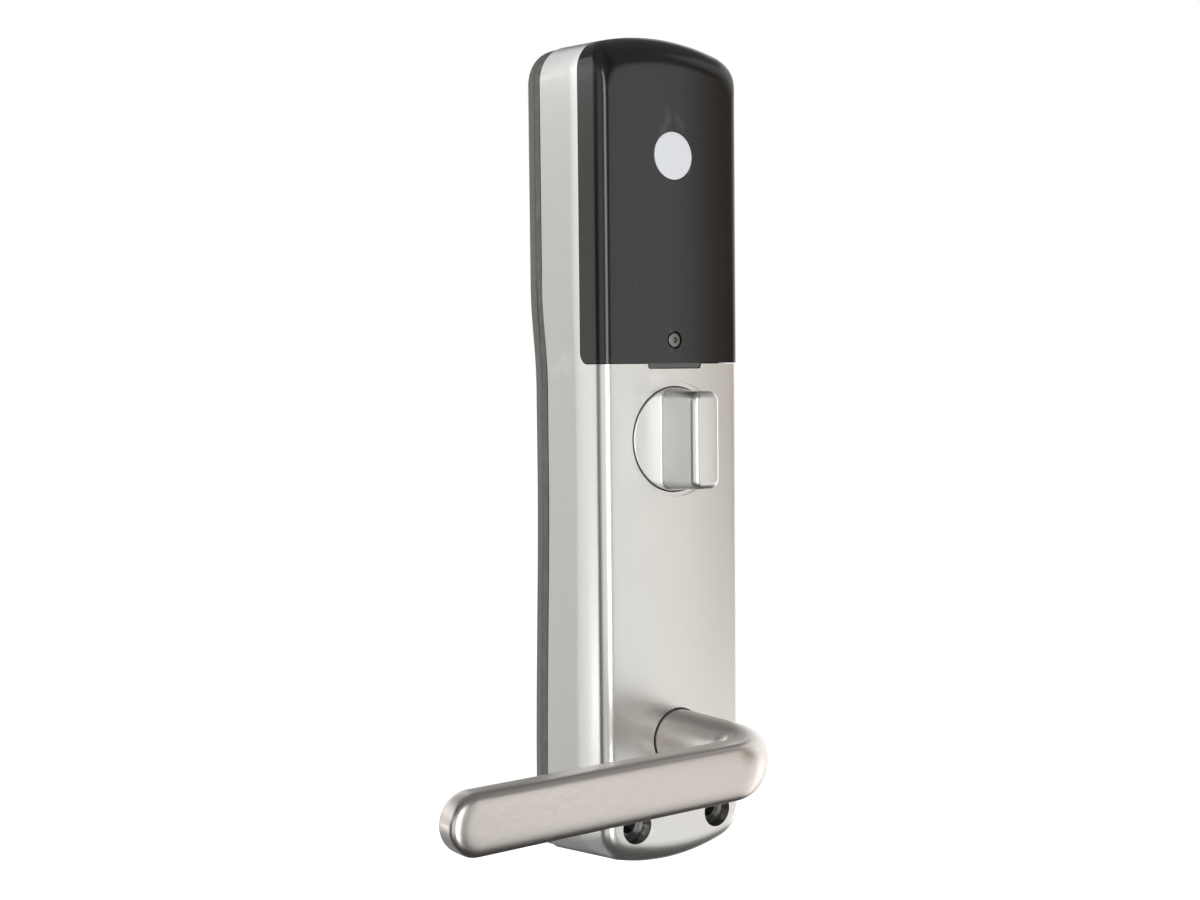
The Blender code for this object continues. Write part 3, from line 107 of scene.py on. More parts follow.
# Outlines of the housing: (half width, top Z, top corner radius, bottom Z, bottom corner radius).
# The brow is where the rounded edge meets the crowned face.
FRONT_FORM = (WIDTH / 2, FRONT_TOP_Z, 10.4 * MM, FRONT_FOOT_Z, 12.6 * MM)
REAR_FORM = (WIDTH / 2, 193.4 * MM, 13.8 * MM, -99.4 * MM, 6.5 * MM)
BROW_FORM = (
    WIDTH / 2 - SIDE_EDGE, FRONT_TOP_Z - TOP_EDGE, 10.2 * MM, FRONT_FOOT_Z + BOTTOM_EDGE, 5.0 * MM,
)
TOP_Z = REAR_FORM[1]
WALL = 2.2 * MM

# The rims behind the housing bow away from the door between these heights
RIM_BOW = 2.9 * MM
RIM_FOOT_Z = -72.5 * MM
RIM_RISE = 115 * MM
RIM_FALL_Z = 72.5 * MM
RIM_FALL = 33 * MM
GASKET_FRONT = -1.6 * MM
GASKET_INSET = 0.1 * MM
GASKET_LIP = 0.7 * MM
HOUSING_REAR = -5.9 * MM
BASE_FRONT = -6.4 * MM
PLATE_INSET = 4.2 * MM

COVER_BOTTOM_Z = 79.0 * MM
COVER_SIDE_REAR = -28.8 * MM
COVER_SIDE_CORNER = 4.3 * MM
COVER_WALL = 2.0 * MM
COVER_SCREW_RECESS = 3.15 * MM
BADGE_RADIUS = 8.4 * MM
TAB_HALF = 11.5 * MM
TAB_DROP = 1.7 * MM

THUMB_HOLE = 18.5 * MM
THUMB_DISC = 18.1 * MM
THUMB_SEAT = 20.2 * MM
SEAT_DEPTH = 0.5 * MM
THUMB_HUB = 8.0 * MM
THUMB_PLATE = 3.2 * MM
HUB_REAR = -29.6 * MM
GRIP_OUT = 17.5 * MM
GRIP_HALF_BASE = 6.15 * MM
GRIP_HALF_TIP = 5.9 * MM
GRIP_CORNER = 3.4 * MM
GRIP_HEIGHT_BASE = 17.2 * MM
GRIP_HEIGHT_TIP = 16.7 * MM
GRIP_EDGE = 2.4 * MM
GRIP_FILLET = 0.55 * MM

NECK = 10.2 * MM
NECK_HOLE = 10.7 * MM
NECK_REAR = -33 * MM
LEVER_LENGTH = 120.2 * MM
LEVER_BACK = 37.4 * MM
LEVER_THICK = 10.4 * MM
LEVER_CROWN = 9.0 * MM
CROWN_POWER = 3.4   # of the curve from the lever's edge to its full thickness
EDGE_SHARE = 0.3    # of the thickness that is a flat edge
LEVER_BEND = 13 * MM
LEVER_DROP = 1.4 * MM
LEVER_HEIGHT = 18.9 * MM
LEVER_SIDES = 72
TIP_TURN = math.radians(86)
SPINDLE = 8 * MM
GRUB_RADIUS = 2.5 * MM
GRUB_Y = -46.5 * MM

# The two screw bores at the foot
FIX_X = 18.0 * MM
FIX_Z = -81.3 * MM
FIX_BORE = 5.95 * MM
FIX_BORE_DEPTH = 5.8 * MM
FIX_HOLE = 3.4 * MM
FIX_POST = 8.0 * MM

# Cutters begin ahead of the front, and end past the wall or the door
AHEAD = -DEPTH - 5 * MM
PAST_WALL = -30 * MM
PAST_DOOR = 10 * MM

# Steps round a corner, along an end arc, up a side, over the front's edge and across its face
CORNER_STEPS, ARC_STEPS, SIDE_STEPS, EDGE_STEPS, FACE_ROWS = 14, 22, 48, 12, 24
SEGMENTS = 128

SMOOTH_ANGLE = math.radians(32)
BEVEL_ANGLE = math.radians(40)
WELD = 0.002 * MM           # points nearer than this become one after a Boolean
ON_SURFACE = 0.02 * MM      # points nearer than this lie on the uncut form
SAME_FACING = 0.6           # least cosine between a face and the form it follows


# ---------------------------------------------------------------- mesh helpers

def add_object(name, verts, faces):
    """An object from points and faces, with its normals turned outwards."""
    mesh = bpy.data.meshes.new(name)
    mesh.from_pydata([tuple(v) for v in verts], [], faces)
    work = bmesh.new()
    work.from_mesh(mesh)
    bmesh.ops.recalc_face_normals(work, faces=work.faces)
    work.to_mesh(mesh)
    work.free()
    obj = bpy.data.objects.new(name, mesh)
    bpy.context.scene.collection.objects.link(obj)
    return obj


def skin(rings, closed_ends=True):
    """Points and faces through rings of equal point count, with a flat cap on each end."""
    count = len(rings[0])
    verts = [p for ring in rings for p in ring]
    faces = []
    for r in range(len(rings) - 1):
        for i in range(count):
            j = (i + 1) % count
            faces.append((r * count + i, r * count + j, (r + 1) * count + j, (r + 1) * count + i))
    if closed_ends:
        faces.append(tuple(range(count)))
        faces.append(tuple(range((len(rings) - 1) * count, len(rings) * count)))
    return verts, faces


def lofted(name, rings):
    return add_object(name, *skin(rings))


def extruded(name, outline, y0, y1):
    """A flat (x, z) outline extruded along Y."""
    return lofted(name, [[(x, y, z) for x, z in outline] for y in (y0, y1)])


def block(name, low, high):
    (x0, y0, z0), (x1, y1, z1) = low, high
    return extruded(name, [(x0, z0), (x1, z0), (x1, z1), (x0, z1)], y0, y1)


def quarter_turn(steps):
    """Angles from nought to a right angle, both included."""
    return [math.pi / 2 * i / steps for i in range(steps + 1)]


def rounded_outline(half_x, half_z, radius, centre):
    """A rectangle with round corners, as (x, z) points."""
    points, steps = [], 10
    for sx, sz, quarter in ((1, 1, 0), (-1, 1, 1), (-1, -1, 2), (1, -1, 3)):
        for i in range(steps + 1):
            angle = (quarter + i / steps) * math.pi / 2
            x = sx * (half_x - radius) + radius * math.cos(angle)
            z = sz * (half_z - radius) + radius * math.sin(angle)
            points.append((centre[0] + x, centre[1] + z))
    return points


def turned(name, profile, centre, segments=SEGMENTS):
    """A profile of (radius, y) points revolved about the Y line through centre (x, z)."""
    verts, rows = [], []
    for radius, y in profile:
        if radius == 0:
            rows.append([len(verts)] * segments)
            verts.append((centre[0], y, centre[1]))
            continue
        row = []
        for i in range(segments):
            angle = 2 * math.pi * i / segments
            x, z = centre[0] + radius * math.cos(angle), centre[1] + radius * math.sin(angle)
            row.append(len(verts))
            verts.append((x, y, z))
        rows.append(row)
    solid = profile[0][0] == 0
    pairs = list(zip(rows, rows[1:])) + ([] if solid else [(rows[-1], rows[0])])
    faces = []
    for low, high in pairs:
        for i in range(segments):
            j = (i + 1) % segments
            corners = list(dict.fromkeys((low[i], low[j], high[j], high[i])))
            if len(corners) > 2:
                faces.append(corners)
    return add_object(name, verts, faces)


def rod(name, radius, y0, y1, centre, segments=SEGMENTS):
    return turned(name, [(0, y0), (radius, y0), (radius, y1), (0, y1)], centre, segments)


def combine(target, operation, *others):
    """Applies a Boolean with each of the other objects, and removes them."""
    for other in others:
        modifier = target.modifiers.new("combine", "BOOLEAN")
        modifier.operation = operation
        modifier.solver = "EXACT"
        modifier.object = other
        bpy.context.view_layer.update()
        graph = bpy.context.evaluated_depsgraph_get()
        mesh = bpy.data.meshes.new_from_object(target.evaluated_get(graph))
        target.modifiers.clear()
        work = bmesh.new()
        work.from_mesh(mesh)
        bmesh.ops.remove_doubles(work, verts=work.verts, dist=WELD)
        work.to_mesh(mesh)
        work.free()
        target.data = mesh
        bpy.data.objects.remove(other)
    return target


def cut(target, *cutters):
    return combine(target, "DIFFERENCE", *cutters)


def merge(target, other):
    """Adds another mesh to a piece as it is."""
    work = bmesh.new()
    work.from_mesh(target.data)
    work.from_mesh(other.data)
    work.to_mesh(target.data)
    work.free()
    bpy.data.objects.remove(other)


def soften(piece, width):
    """Rounds a mesh's sharp edges."""
    piece.data.shade_smooth()
    piece.data.set_sharp_from_angle(angle=SMOOTH_ANGLE)
    edges = piece.modifiers.new("soft_edges", "BEVEL")
    edges.width = width
    edges.segments = 2
    edges.limit_method = "ANGLE"
    edges.angle_limit = BEVEL_ANGLE
    edges.miter_outer = "MITER_ARC"
    edges.harden_normals = True
    bpy.context.view_layer.update()
    graph = bpy.context.evaluated_depsgraph_get()
    mesh = bpy.data.meshes.new_from_object(piece.evaluated_get(graph))
    piece.modifiers.clear()
    piece.data = mesh
    return piece


def follow(piece, form):
    """Shades the piece as an uncut form wherever it lies on its surface, and removes the form."""
    form.data.shade_smooth()
    points, faces = form.data.vertices, form.data.polygons
    tree = BVHTree.FromPolygons([v.co for v in points], [face.vertices for face in faces])
    normals = {}
    for v in piece.data.vertices:
        at, _, index, distance = tree.find_nearest(v.co)
        if distance < ON_SURFACE:
            corners = faces[index].vertices
            weights = poly_3d_calc([points[i].co for i in corners], at)
            normal = sum((points[i].normal * w for i, w in zip(corners, weights)), Vector())
            normals[v.index] = normal.normalized()
    corner_normals = [c.vector.copy() for c in piece.data.corner_normals]
    for loop in piece.data.loops:
        normal = normals.get(loop.vertex_index)
        if normal is not None and normal.dot(corner_normals[loop.index]) > SAME_FACING:
            corner_normals[loop.index] = normal
    piece.data.normals_split_custom_set(corner_normals)
    bpy.data.objects.remove(form)


def paint(piece, inside):
    """Gives the faces with their middle inside a region the second material, others the first."""
    for face in piece.data.polygons:
        face.material_index = 1 if inside(*face.center) else 0


def place(piece, body, surfaces, nodes):
    """Sets a finished mesh on the door, and lets it ride in place of its CAD nodes."""
    if not piece.data.has_custom_normals:
        piece.data.shade_smooth()
        piece.data.set_sharp_from_angle(angle=SMOOTH_ANGLE)
    piece.data.transform(Matrix.Translation((0, -DOOR, 0)))
    marks = [min(face.material_index, len(surfaces) - 1) for face in piece.data.polygons]
    piece.data.materials.clear()
    for surface in surfaces:
        piece.data.materials.append(surface)
    piece.data.polygons.foreach_set("material_index", marks)
    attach(piece, body)
    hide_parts(*nodes)


# ---------------------------------------------------------------- the housing's shape

def arc_points(centre, radius, start, end, steps):
    """(x, z, normal z) along an arc, both ends included."""
    points = []
    for i in range(steps + 1):
        angle = start + (end - start) * i / steps
        nx, nz = math.cos(angle), math.sin(angle)
        points.append((centre[0] + radius * nx, centre[1] + radius * nz, nz))
    return points


def half_outline(form):
    """The right half of an outline, from bottom centre to top centre, as (x, z, normal z)."""
    half, top, top_corner, bottom, bottom_corner = form

    def corner_centre(arc, radius):
        x = half - radius
        return x, math.acos(x / (arc - radius)), math.sqrt((arc - radius) ** 2 - x * x)

    x, angle, rise = corner_centre(BOTTOM_ARC, bottom_corner)
    arc_z = bottom + BOTTOM_ARC
    points = arc_points((0, arc_z), BOTTOM_ARC, -math.pi / 2, -angle, ARC_STEPS)
    points += arc_points((x, arc_z - rise), bottom_corner, -angle, 0, CORNER_STEPS)[1:]
    x, angle, rise = corner_centre(TOP_ARC, top_corner)
    arc_z = top - TOP_ARC
    low_z, high_z = points[-1][1], arc_z + rise
    points += [(half, low_z + (high_z - low_z) * i / SIDE_STEPS, 0.0) for i in range(1, SIDE_STEPS)]
    points += arc_points((x, arc_z + rise), top_corner, 0, angle, CORNER_STEPS)
    points += arc_points((0, arc_z), TOP_ARC, angle, math.pi / 2, ARC_STEPS)[1:]
    return points


def inset_form(form, inset):
    """An outline moved in on every side, with corners of at least 1 mm."""
    half, top, top_corner, bottom, bottom_corner = form
    top_corner, bottom_corner = max(top_corner - inset, 1 * MM), max(bottom_corner - inset, 1 * MM)
    return half - inset, top - inset, top_corner, bottom + inset, bottom_corner


def form_at(y, inset):
    """The outline at a depth, between the housing's rear and the start of the front's edge."""
    start, end = HOUSING_REAR, -DEPTH + SIDE_EDGE
    share = max(0.0, min(1.0, (y - start) / (end - start)))
    mixed = tuple(r + (f - r) * share for r, f in zip(REAR_FORM, FRONT_FORM))
    return inset_form(mixed, inset)


def full_ring(half, y_of):
    """The whole outline with its Y from y_of(index, x)."""
    right = [(max(x, 0.0), y_of(i, x), z) for i, (x, z, _) in enumerate(half)]
    return right + [(-x, y, z) for x, y, z in reversed(right[1:-1])]


def bow(z):
    """How far the rims behind the housing bow away from the door at a height."""
    def smooth(share):
        share = max(0.0, min(1.0, share))
        return share * share * (3 - 2 * share)

    rise, fall = smooth((z - RIM_FOOT_Z) / RIM_RISE), smooth((z - RIM_FALL_Z) / RIM_FALL)
    return RIM_BOW * rise * (1 - fall)


def strip_cap(count, first=0):
    """Faces that close a symmetric ring with a strip across each pair of its points."""
    faces = []
    for i in range(count // 2):
        corners = (i, i + 1, (count - i - 1) % count, (count - i) % count)
        faces.append(tuple(dict.fromkeys(first + corner for corner in corners)))
    return faces


def front_y(x):
    """The crowned front face."""
    return -DEPTH + CROWN * (2 * x / WIDTH) ** 2


def body_solid(name, inset, rear, bowed=False):
    """A solid of the housing's outer form, moved in by inset on its sides and its front."""
    half = half_outline(inset_form(FRONT_FORM, inset))
    brow = half_outline(BROW_FORM)
    base = full_ring(half_outline(form_at(rear, inset)), lambda i, x: rear)
    rings = [[(x, y - bow(z) * bowed, z) for x, y, z in base]]
    if rear > HOUSING_REAR:
        rings.append(full_ring(half_outline(form_at(rear, inset)), lambda i, x: HOUSING_REAR))
    for turn in quarter_turn(EDGE_STEPS):
        run, drop = 1 - math.cos(turn), 1 - math.sin(turn)
        level, depth = [], []
        for (x0, z0, nz), (x1, z1, _) in zip(half, brow):
            level.append((x0 + (x1 - x0) * run, z0 + (z1 - z0) * run, nz))
            end_edge = TOP_EDGE if nz > 0 else BOTTOM_EDGE
            depth.append((SIDE_EDGE + (end_edge - SIDE_EDGE) * nz * nz - inset) * drop)
        rings.append(full_ring(level, lambda i, x, d=depth: front_y(x) + inset + d[i]))
    verts, faces = skin(rings, closed_ends=False)
    count = len(rings[0])
    faces += strip_cap(count)
    # The crowned face: one row of points across the front for each pair of outline points.
    last = (len(rings) - 1) * count
    top = len(half) - 1
    across = [[last]]
    for i in range(1, top):
        right, left = last + i, last + count - i
        x, y, z = verts[right]
        row = [right]
        for k in range(1, FACE_ROWS):
            x_here = x * (1 - 2 * k / FACE_ROWS)
            row.append(len(verts))
            verts.append((x_here, front_y(x_here) + inset, z))
        across.append(row + [left])
    across.append([last + top])
    for low, high in zip(across, across[1:]):
        for k in range(FACE_ROWS):
            corners = (low[min(k, len(low) - 1)], low[min(k + 1, len(low) - 1)])
            corners += (high[min(k + 1, len(high) - 1)], high[min(k, len(high) - 1)])
            corners = tuple(dict.fromkeys(corners))
            if len(corners) > 2:
                faces.append(corners)
    return add_object(name, verts, faces)


def outline_slab(name, levels):
    """A bowed solid through rings of the housing's outline, each an (inset, y) pair."""
    rings = []
    for inset, y in levels:
        level = full_ring(half_outline(form_at(y, inset)), lambda i, x: 0.0)
        rings.append([(x, y - bow(z), z) for x, _, z in level])
    verts, faces = skin(rings, closed_ends=False)
    count = len(rings[0])
    faces += strip_cap(count) + strip_cap(count, (len(rings) - 1) * count)
    return add_object(name, verts, faces)


def cover_region(name, grow):
    """The space that the battery cover takes from the housing's form, grown by a clearance."""
    rear, foot, corner = COVER_SIDE_REAR + grow, COVER_BOTTOM_Z - grow, COVER_SIDE_CORNER
    front, top = -DEPTH - 10 * MM, TOP_Z + 10 * MM
    side = [(front, foot)]
    for angle in quarter_turn(12):
        y, z = rear - corner + corner * math.sin(angle), foot + corner - corner * math.cos(angle)
        side.append((y, z))
    side += [(rear, top), (front, top)]
    return lofted(name, [[(x, y, z) for y, z in side] for x in (-WIDTH, WIDTH)])


def tab_outline(grow):
    """The finger tab under the cover, with cut corners."""
    half, foot = TAB_HALF + grow, COVER_BOTTOM_Z - TAB_DROP - grow
    top, corner = COVER_BOTTOM_Z + 1 * MM, 0.7 * MM
    left = [(-half, top), (-half, foot + corner), (-half + corner, foot)]
    return left + [(half - corner, foot), (half, foot + corner), (half, top)]


# ---------------------------------------------------------------- casing pieces

def housing():
    shell = body_solid("housing_shell", 0, HOUSING_REAR, bowed=True)
    cavity = body_solid("cavity", WALL, 5 * MM)
    feet = [(side * FIX_X, FIX_Z) for side in (-1, 1)]
    cut(cavity, *[rod("post", FIX_POST, AHEAD, PAST_DOOR, at) for at in feet])
    cut(shell, cavity, cover_region("window", GAP))
    floor_y, edge = -DEPTH + FIX_BORE_DEPTH, 0.8 * MM
    cone = [(0, AHEAD), (FIX_BORE, AHEAD), (FIX_BORE, floor_y - edge)]
    cone += [(FIX_BORE - edge, floor_y), (0, floor_y)]
    for at in feet:
        cut(shell, turned("bore", cone, at), rod("hole", FIX_HOLE, -DEPTH, PAST_DOOR, at))
    cut(
        shell,
        rod("seat", THUMB_SEAT, AHEAD, -DEPTH + SEAT_DEPTH, (0, THUMB_Z)),
        rod("thumb_hole", THUMB_HOLE, AHEAD, PAST_WALL, (0, THUMB_Z)),
        rod("neck_hole", NECK_HOLE, AHEAD, PAST_WALL, (0, LEVER_Z)),
        extruded("tab_notch", tab_outline(GAP), AHEAD, -DEPTH + 10 * MM),
    )
    # The posts stop short of the chassis.
    cut(shell, *[rod("trim", FIX_POST + 1 * MM, BASE_FRONT - GAP, 20 * MM, at) for at in feet])
    follow(soften(shell, 0.16 * MM), body_solid("uncut", 0, HOUSING_REAR, bowed=True))

    def in_bore(x, y, z):
        near_axis = math.hypot(abs(x) - FIX_X, z - FIX_Z) < FIX_BORE + 0.05 * MM
        return near_axis and y > -DEPTH + 0.5 * MM

    # The faces inside the bores get the second material, a darker metal that is painted shade for
    # the dark inside them.
    paint(shell, in_bore)
    return shell


def battery_cover():
    cover = body_solid("cover_shell", 0, 0)
    combine(cover, "INTERSECT", cover_region("keep", 0))
    cut(cover, body_solid("inside", COVER_WALL, 5 * MM))
    tab = extruded("tab", tab_outline(0), -DEPTH + 0.5 * MM, -DEPTH + 1.9 * MM)
    combine(cover, "UNION", tab)
    screw = (0, COVER_SCREW_Z)
    cut(
        cover,
        rod("recess", COVER_SCREW_RECESS, AHEAD, -DEPTH + 1.2 * MM, screw),
        rod("hole", 1.6 * MM, AHEAD, -20 * MM, screw),
        rod("badge_seat", BADGE_RADIUS + 0.05 * MM, AHEAD, -DEPTH + 0.6 * MM, (0, BADGE_Z)),
    )
    follow(soften(cover, 0.2 * MM), body_solid("uncut", 0, 0))
    paint(cover, lambda x, y, z: abs(x) < TAB_HALF + GAP and z < COVER_BOTTOM_Z - 0.05 * MM)
    return cover


def round_edge(radius_at, y_at, radius, steps=6):
    """Profile points round an outer edge, from its side to its face towards -Y."""
    return [
        (radius_at - radius + radius * math.cos(angle), y_at + radius - radius * math.sin(angle))
        for angle in quarter_turn(steps)
    ]


def cover_screw():
    """A small pan-head screw with a six-lobed socket."""
    seat, head, shank, tall = -DEPTH + 0.95 * MM, 2.5 * MM, 1.25 * MM, 0.85 * MM
    top, length = seat - tall, 7 * MM
    at = (0, COVER_SCREW_Z)
    profile = [(0, seat + length), (shank * 0.6, seat + length), (shank, seat + length - 0.8 * MM)]
    profile += [(shank, seat), (head, seat)] + round_edge(head, top, 0.35 * MM) + [(0, top)]
    screw = turned("screw_head", profile, at)
    lobes, steps = 6, 60
    outline = []
    for i in range(steps):
        angle = 2 * math.pi * i / steps
        radius = 1.12 * MM + 0.2 * MM * math.cos(lobes * angle)
        outline.append((at[0] + radius * math.cos(angle), at[1] + radius * math.sin(angle)))
    return cut(screw, extruded("socket", outline, top - 1 * MM, top + 0.6 * MM))


def badge():
    """The blank disc on the cover, slightly domed."""
    rim, front, back = BADGE_RADIUS - 0.2 * MM, -DEPTH - 0.1 * MM, -DEPTH + 0.35 * MM
    edge, dome = 0.2 * MM, 0.05 * MM
    profile = [(0, back), (rim, back)] + round_edge(rim, front + dome, edge, 4)
    face = rim - edge
    profile += [(face * (1 - k / 5), front + dome * (1 - k / 5) ** 2) for k in range(1, 6)]
    return turned("badge_disc", profile, (0, BADGE_Z))


def thumb_turn():
    """The round plate with its hub, and the grip, which grows out of it with a small fillet."""
    front, plate_rear, bore_end = -DEPTH, -DEPTH + THUMB_PLATE, -36 * MM
    bore, edge, dome = 3.8 * MM, 0.45 * MM, 0.2 * MM
    profile = [(0, bore_end), (bore, bore_end), (bore, HUB_REAR), (THUMB_HUB, HUB_REAR)]
    profile += [(THUMB_HUB, plate_rear), (THUMB_DISC, plate_rear)]
    profile += round_edge(THUMB_DISC, front, edge)
    flat, rows = THUMB_DISC - edge, 12
    for k in range(1, rows + 1):
        # The first row lies close inside the edge, which keeps the edge's shading narrow.
        share = 1 - (0.1 * MM / flat if k == 1 else (k - 1) / (rows - 1))
        profile.append((flat * share if k < rows else 0, front - dome * (1 - share * share)))
    knob = turned("thumb_knob", profile, (0, THUMB_Z))
    rings = [grip_ring(front + 1.5 * MM, -GRIP_FILLET, 0.0)]
    for angle in quarter_turn(6):
        y = front - 0.1 * MM - GRIP_FILLET * (1 - math.cos(angle))
        rings.append(grip_ring(y, -GRIP_FILLET * (1 - math.sin(angle)), 0.0))
    for angle in quarter_turn(10):
        y = front - GRIP_OUT + GRIP_EDGE * (1 - math.sin(angle))
        rings.append(grip_ring(y, GRIP_EDGE * (1 - math.cos(angle)), 1.0))
    merge(knob, lofted("grip", rings))
    return knob


def grip_ring(y, inset, share):
    """The grip's outline at a depth; share runs from 0 at its base to 1 at its tip."""
    half_x = GRIP_HALF_BASE + (GRIP_HALF_TIP - GRIP_HALF_BASE) * share - inset
    half_z = GRIP_HEIGHT_BASE + (GRIP_HEIGHT_TIP - GRIP_HEIGHT_BASE) * share - inset
    outline = rounded_outline(half_x, half_z, GRIP_CORNER - inset, (0, THUMB_Z))
    return [(x, y, z) for x, z in outline]


def half_thickness(distance):
    """Half the lever's thickness at a distance inside its outline: an edge, then a soft crown."""
    short = 1 - min(max(distance, 0.0) / LEVER_CROWN, 1.0)
    rise = (1 - short ** CROWN_POWER) ** (1 / CROWN_POWER)
    return LEVER_THICK / 2 * (EDGE_SHARE + (1 - EDGE_SHARE) * rise)


def lever_section(centre, across, ease, half_high, beyond, drop):
    """One ring of the lever.

    ease runs from 0 at the round neck to 1 along the bar, which is a slab with rounded edges;
    beyond is how far the ring lies past the centre of the bar's round end.
    """
    points = []
    top = math.sin(math.pi / 2 - math.pi / LEVER_SIDES)
    for i in range(LEVER_SIDES):
        angle = 2 * math.pi * (i + 0.5) / LEVER_SIDES
        c, s = math.cos(angle), math.sin(angle)
        v = half_high * max(-1.0, min(1.0, s / top))
        up = v * LEVER_HEIGHT / 2 / max(half_high, LEVER_HEIGHT / 2)
        inside = LEVER_HEIGHT / 2 - math.hypot(beyond, up)
        slab = math.copysign(half_thickness(inside), c)
        u = NECK * c * (1 - ease) + slab * ease
        w = NECK * s * (1 - ease) + v * ease
        points.append((centre[0] + across[0] * u, centre[1] + across[1] * u, LEVER_Z - drop + w))
    return points


def lever():
    """The neck, the bend, the bar and its round end in one skin, with the spindle's socket."""
    straight, outwards = (1.0, 0.0), (0.0, -1.0)
    neck_ends = NECK_REAR, -DEPTH - 8 * MM
    rings = [lever_section((0, y), straight, 0.0, NECK, 0.0, 0.0) for y in neck_ends]
    middle = -DEPTH - LEVER_BACK - LEVER_THICK / 2
    bend_steps, bar_steps, tip_steps = 24, 14, 16
    for i in range(bend_steps + 1):
        share = i / bend_steps
        angle = math.pi / 2 * share
        centre = (-LEVER_BEND * (1 - math.cos(angle)), middle + LEVER_BEND * (1 - math.sin(angle)))
        ease = share * share * (3 - 2 * share)
        across = (math.cos(angle), -math.sin(angle))
        rings.append(lever_section(centre, across, ease, LEVER_HEIGHT / 2, 0.0, LEVER_DROP * ease))
    radius = LEVER_HEIGHT / 2
    for i in range(1, bar_steps):
        x = -LEVER_BEND - (LEVER_LENGTH - LEVER_BEND - radius) * i / bar_steps
        rings.append(lever_section((x, middle), outwards, 1.0, radius, 0.0, LEVER_DROP))
    for i in range(tip_steps + 1):
        turn = TIP_TURN * i / tip_steps
        beyond = radius * math.sin(turn)
        centre = (-LEVER_LENGTH + radius - beyond, middle)
        half_high = radius * math.cos(turn)
        rings.append(lever_section(centre, outwards, 1.0, half_high, beyond, LEVER_DROP))
    handle = lofted("lever_bar", rings)
    half = SPINDLE / 2 + GAP
    socket = block("socket", (-half, -DEPTH - 10 * MM, LEVER_Z - half), (half, 0, LEVER_Z + half))
    grub = rod("grub", GRUB_RADIUS, 0, 20 * MM, (0, 0), 48)
    down = Matrix.Rotation(-math.pi / 2, 4, "X")
    grub.data.transform(Matrix.Translation((0, GRUB_Y, LEVER_Z)) @ down)
    return cut(handle, socket, grub)


def gasket():
    """The soft rim, with a lip at each face."""
    levels = []
    for angle in quarter_turn(4):
        inset = GASKET_INSET + GASKET_LIP * (1 - math.sin(angle))
        levels.append((inset, DOOR - GASKET_LIP * (1 - math.cos(angle))))
    for angle in quarter_turn(4):
        inset = GASKET_INSET + GASKET_LIP * (1 - math.cos(angle))
        levels.append((inset, GASKET_FRONT + GASKET_LIP * (1 - math.sin(angle))))
    rim = outline_slab("gasket_rim", levels)
    behind, ahead = 5 * MM, -10 * MM
    inside = full_ring(half_outline(form_at(behind, PLATE_INSET - GAP)), lambda i, x: 0.0)
    return cut(rim, extruded("inside", [(x, z) for x, _, z in inside], behind, ahead))


# ---------------------------------------------------------------- materials

# Sockets of a mix node that mixes colours
MIX_UNDER, MIX_OVER, MIX_RESULT = 6, 7, 2


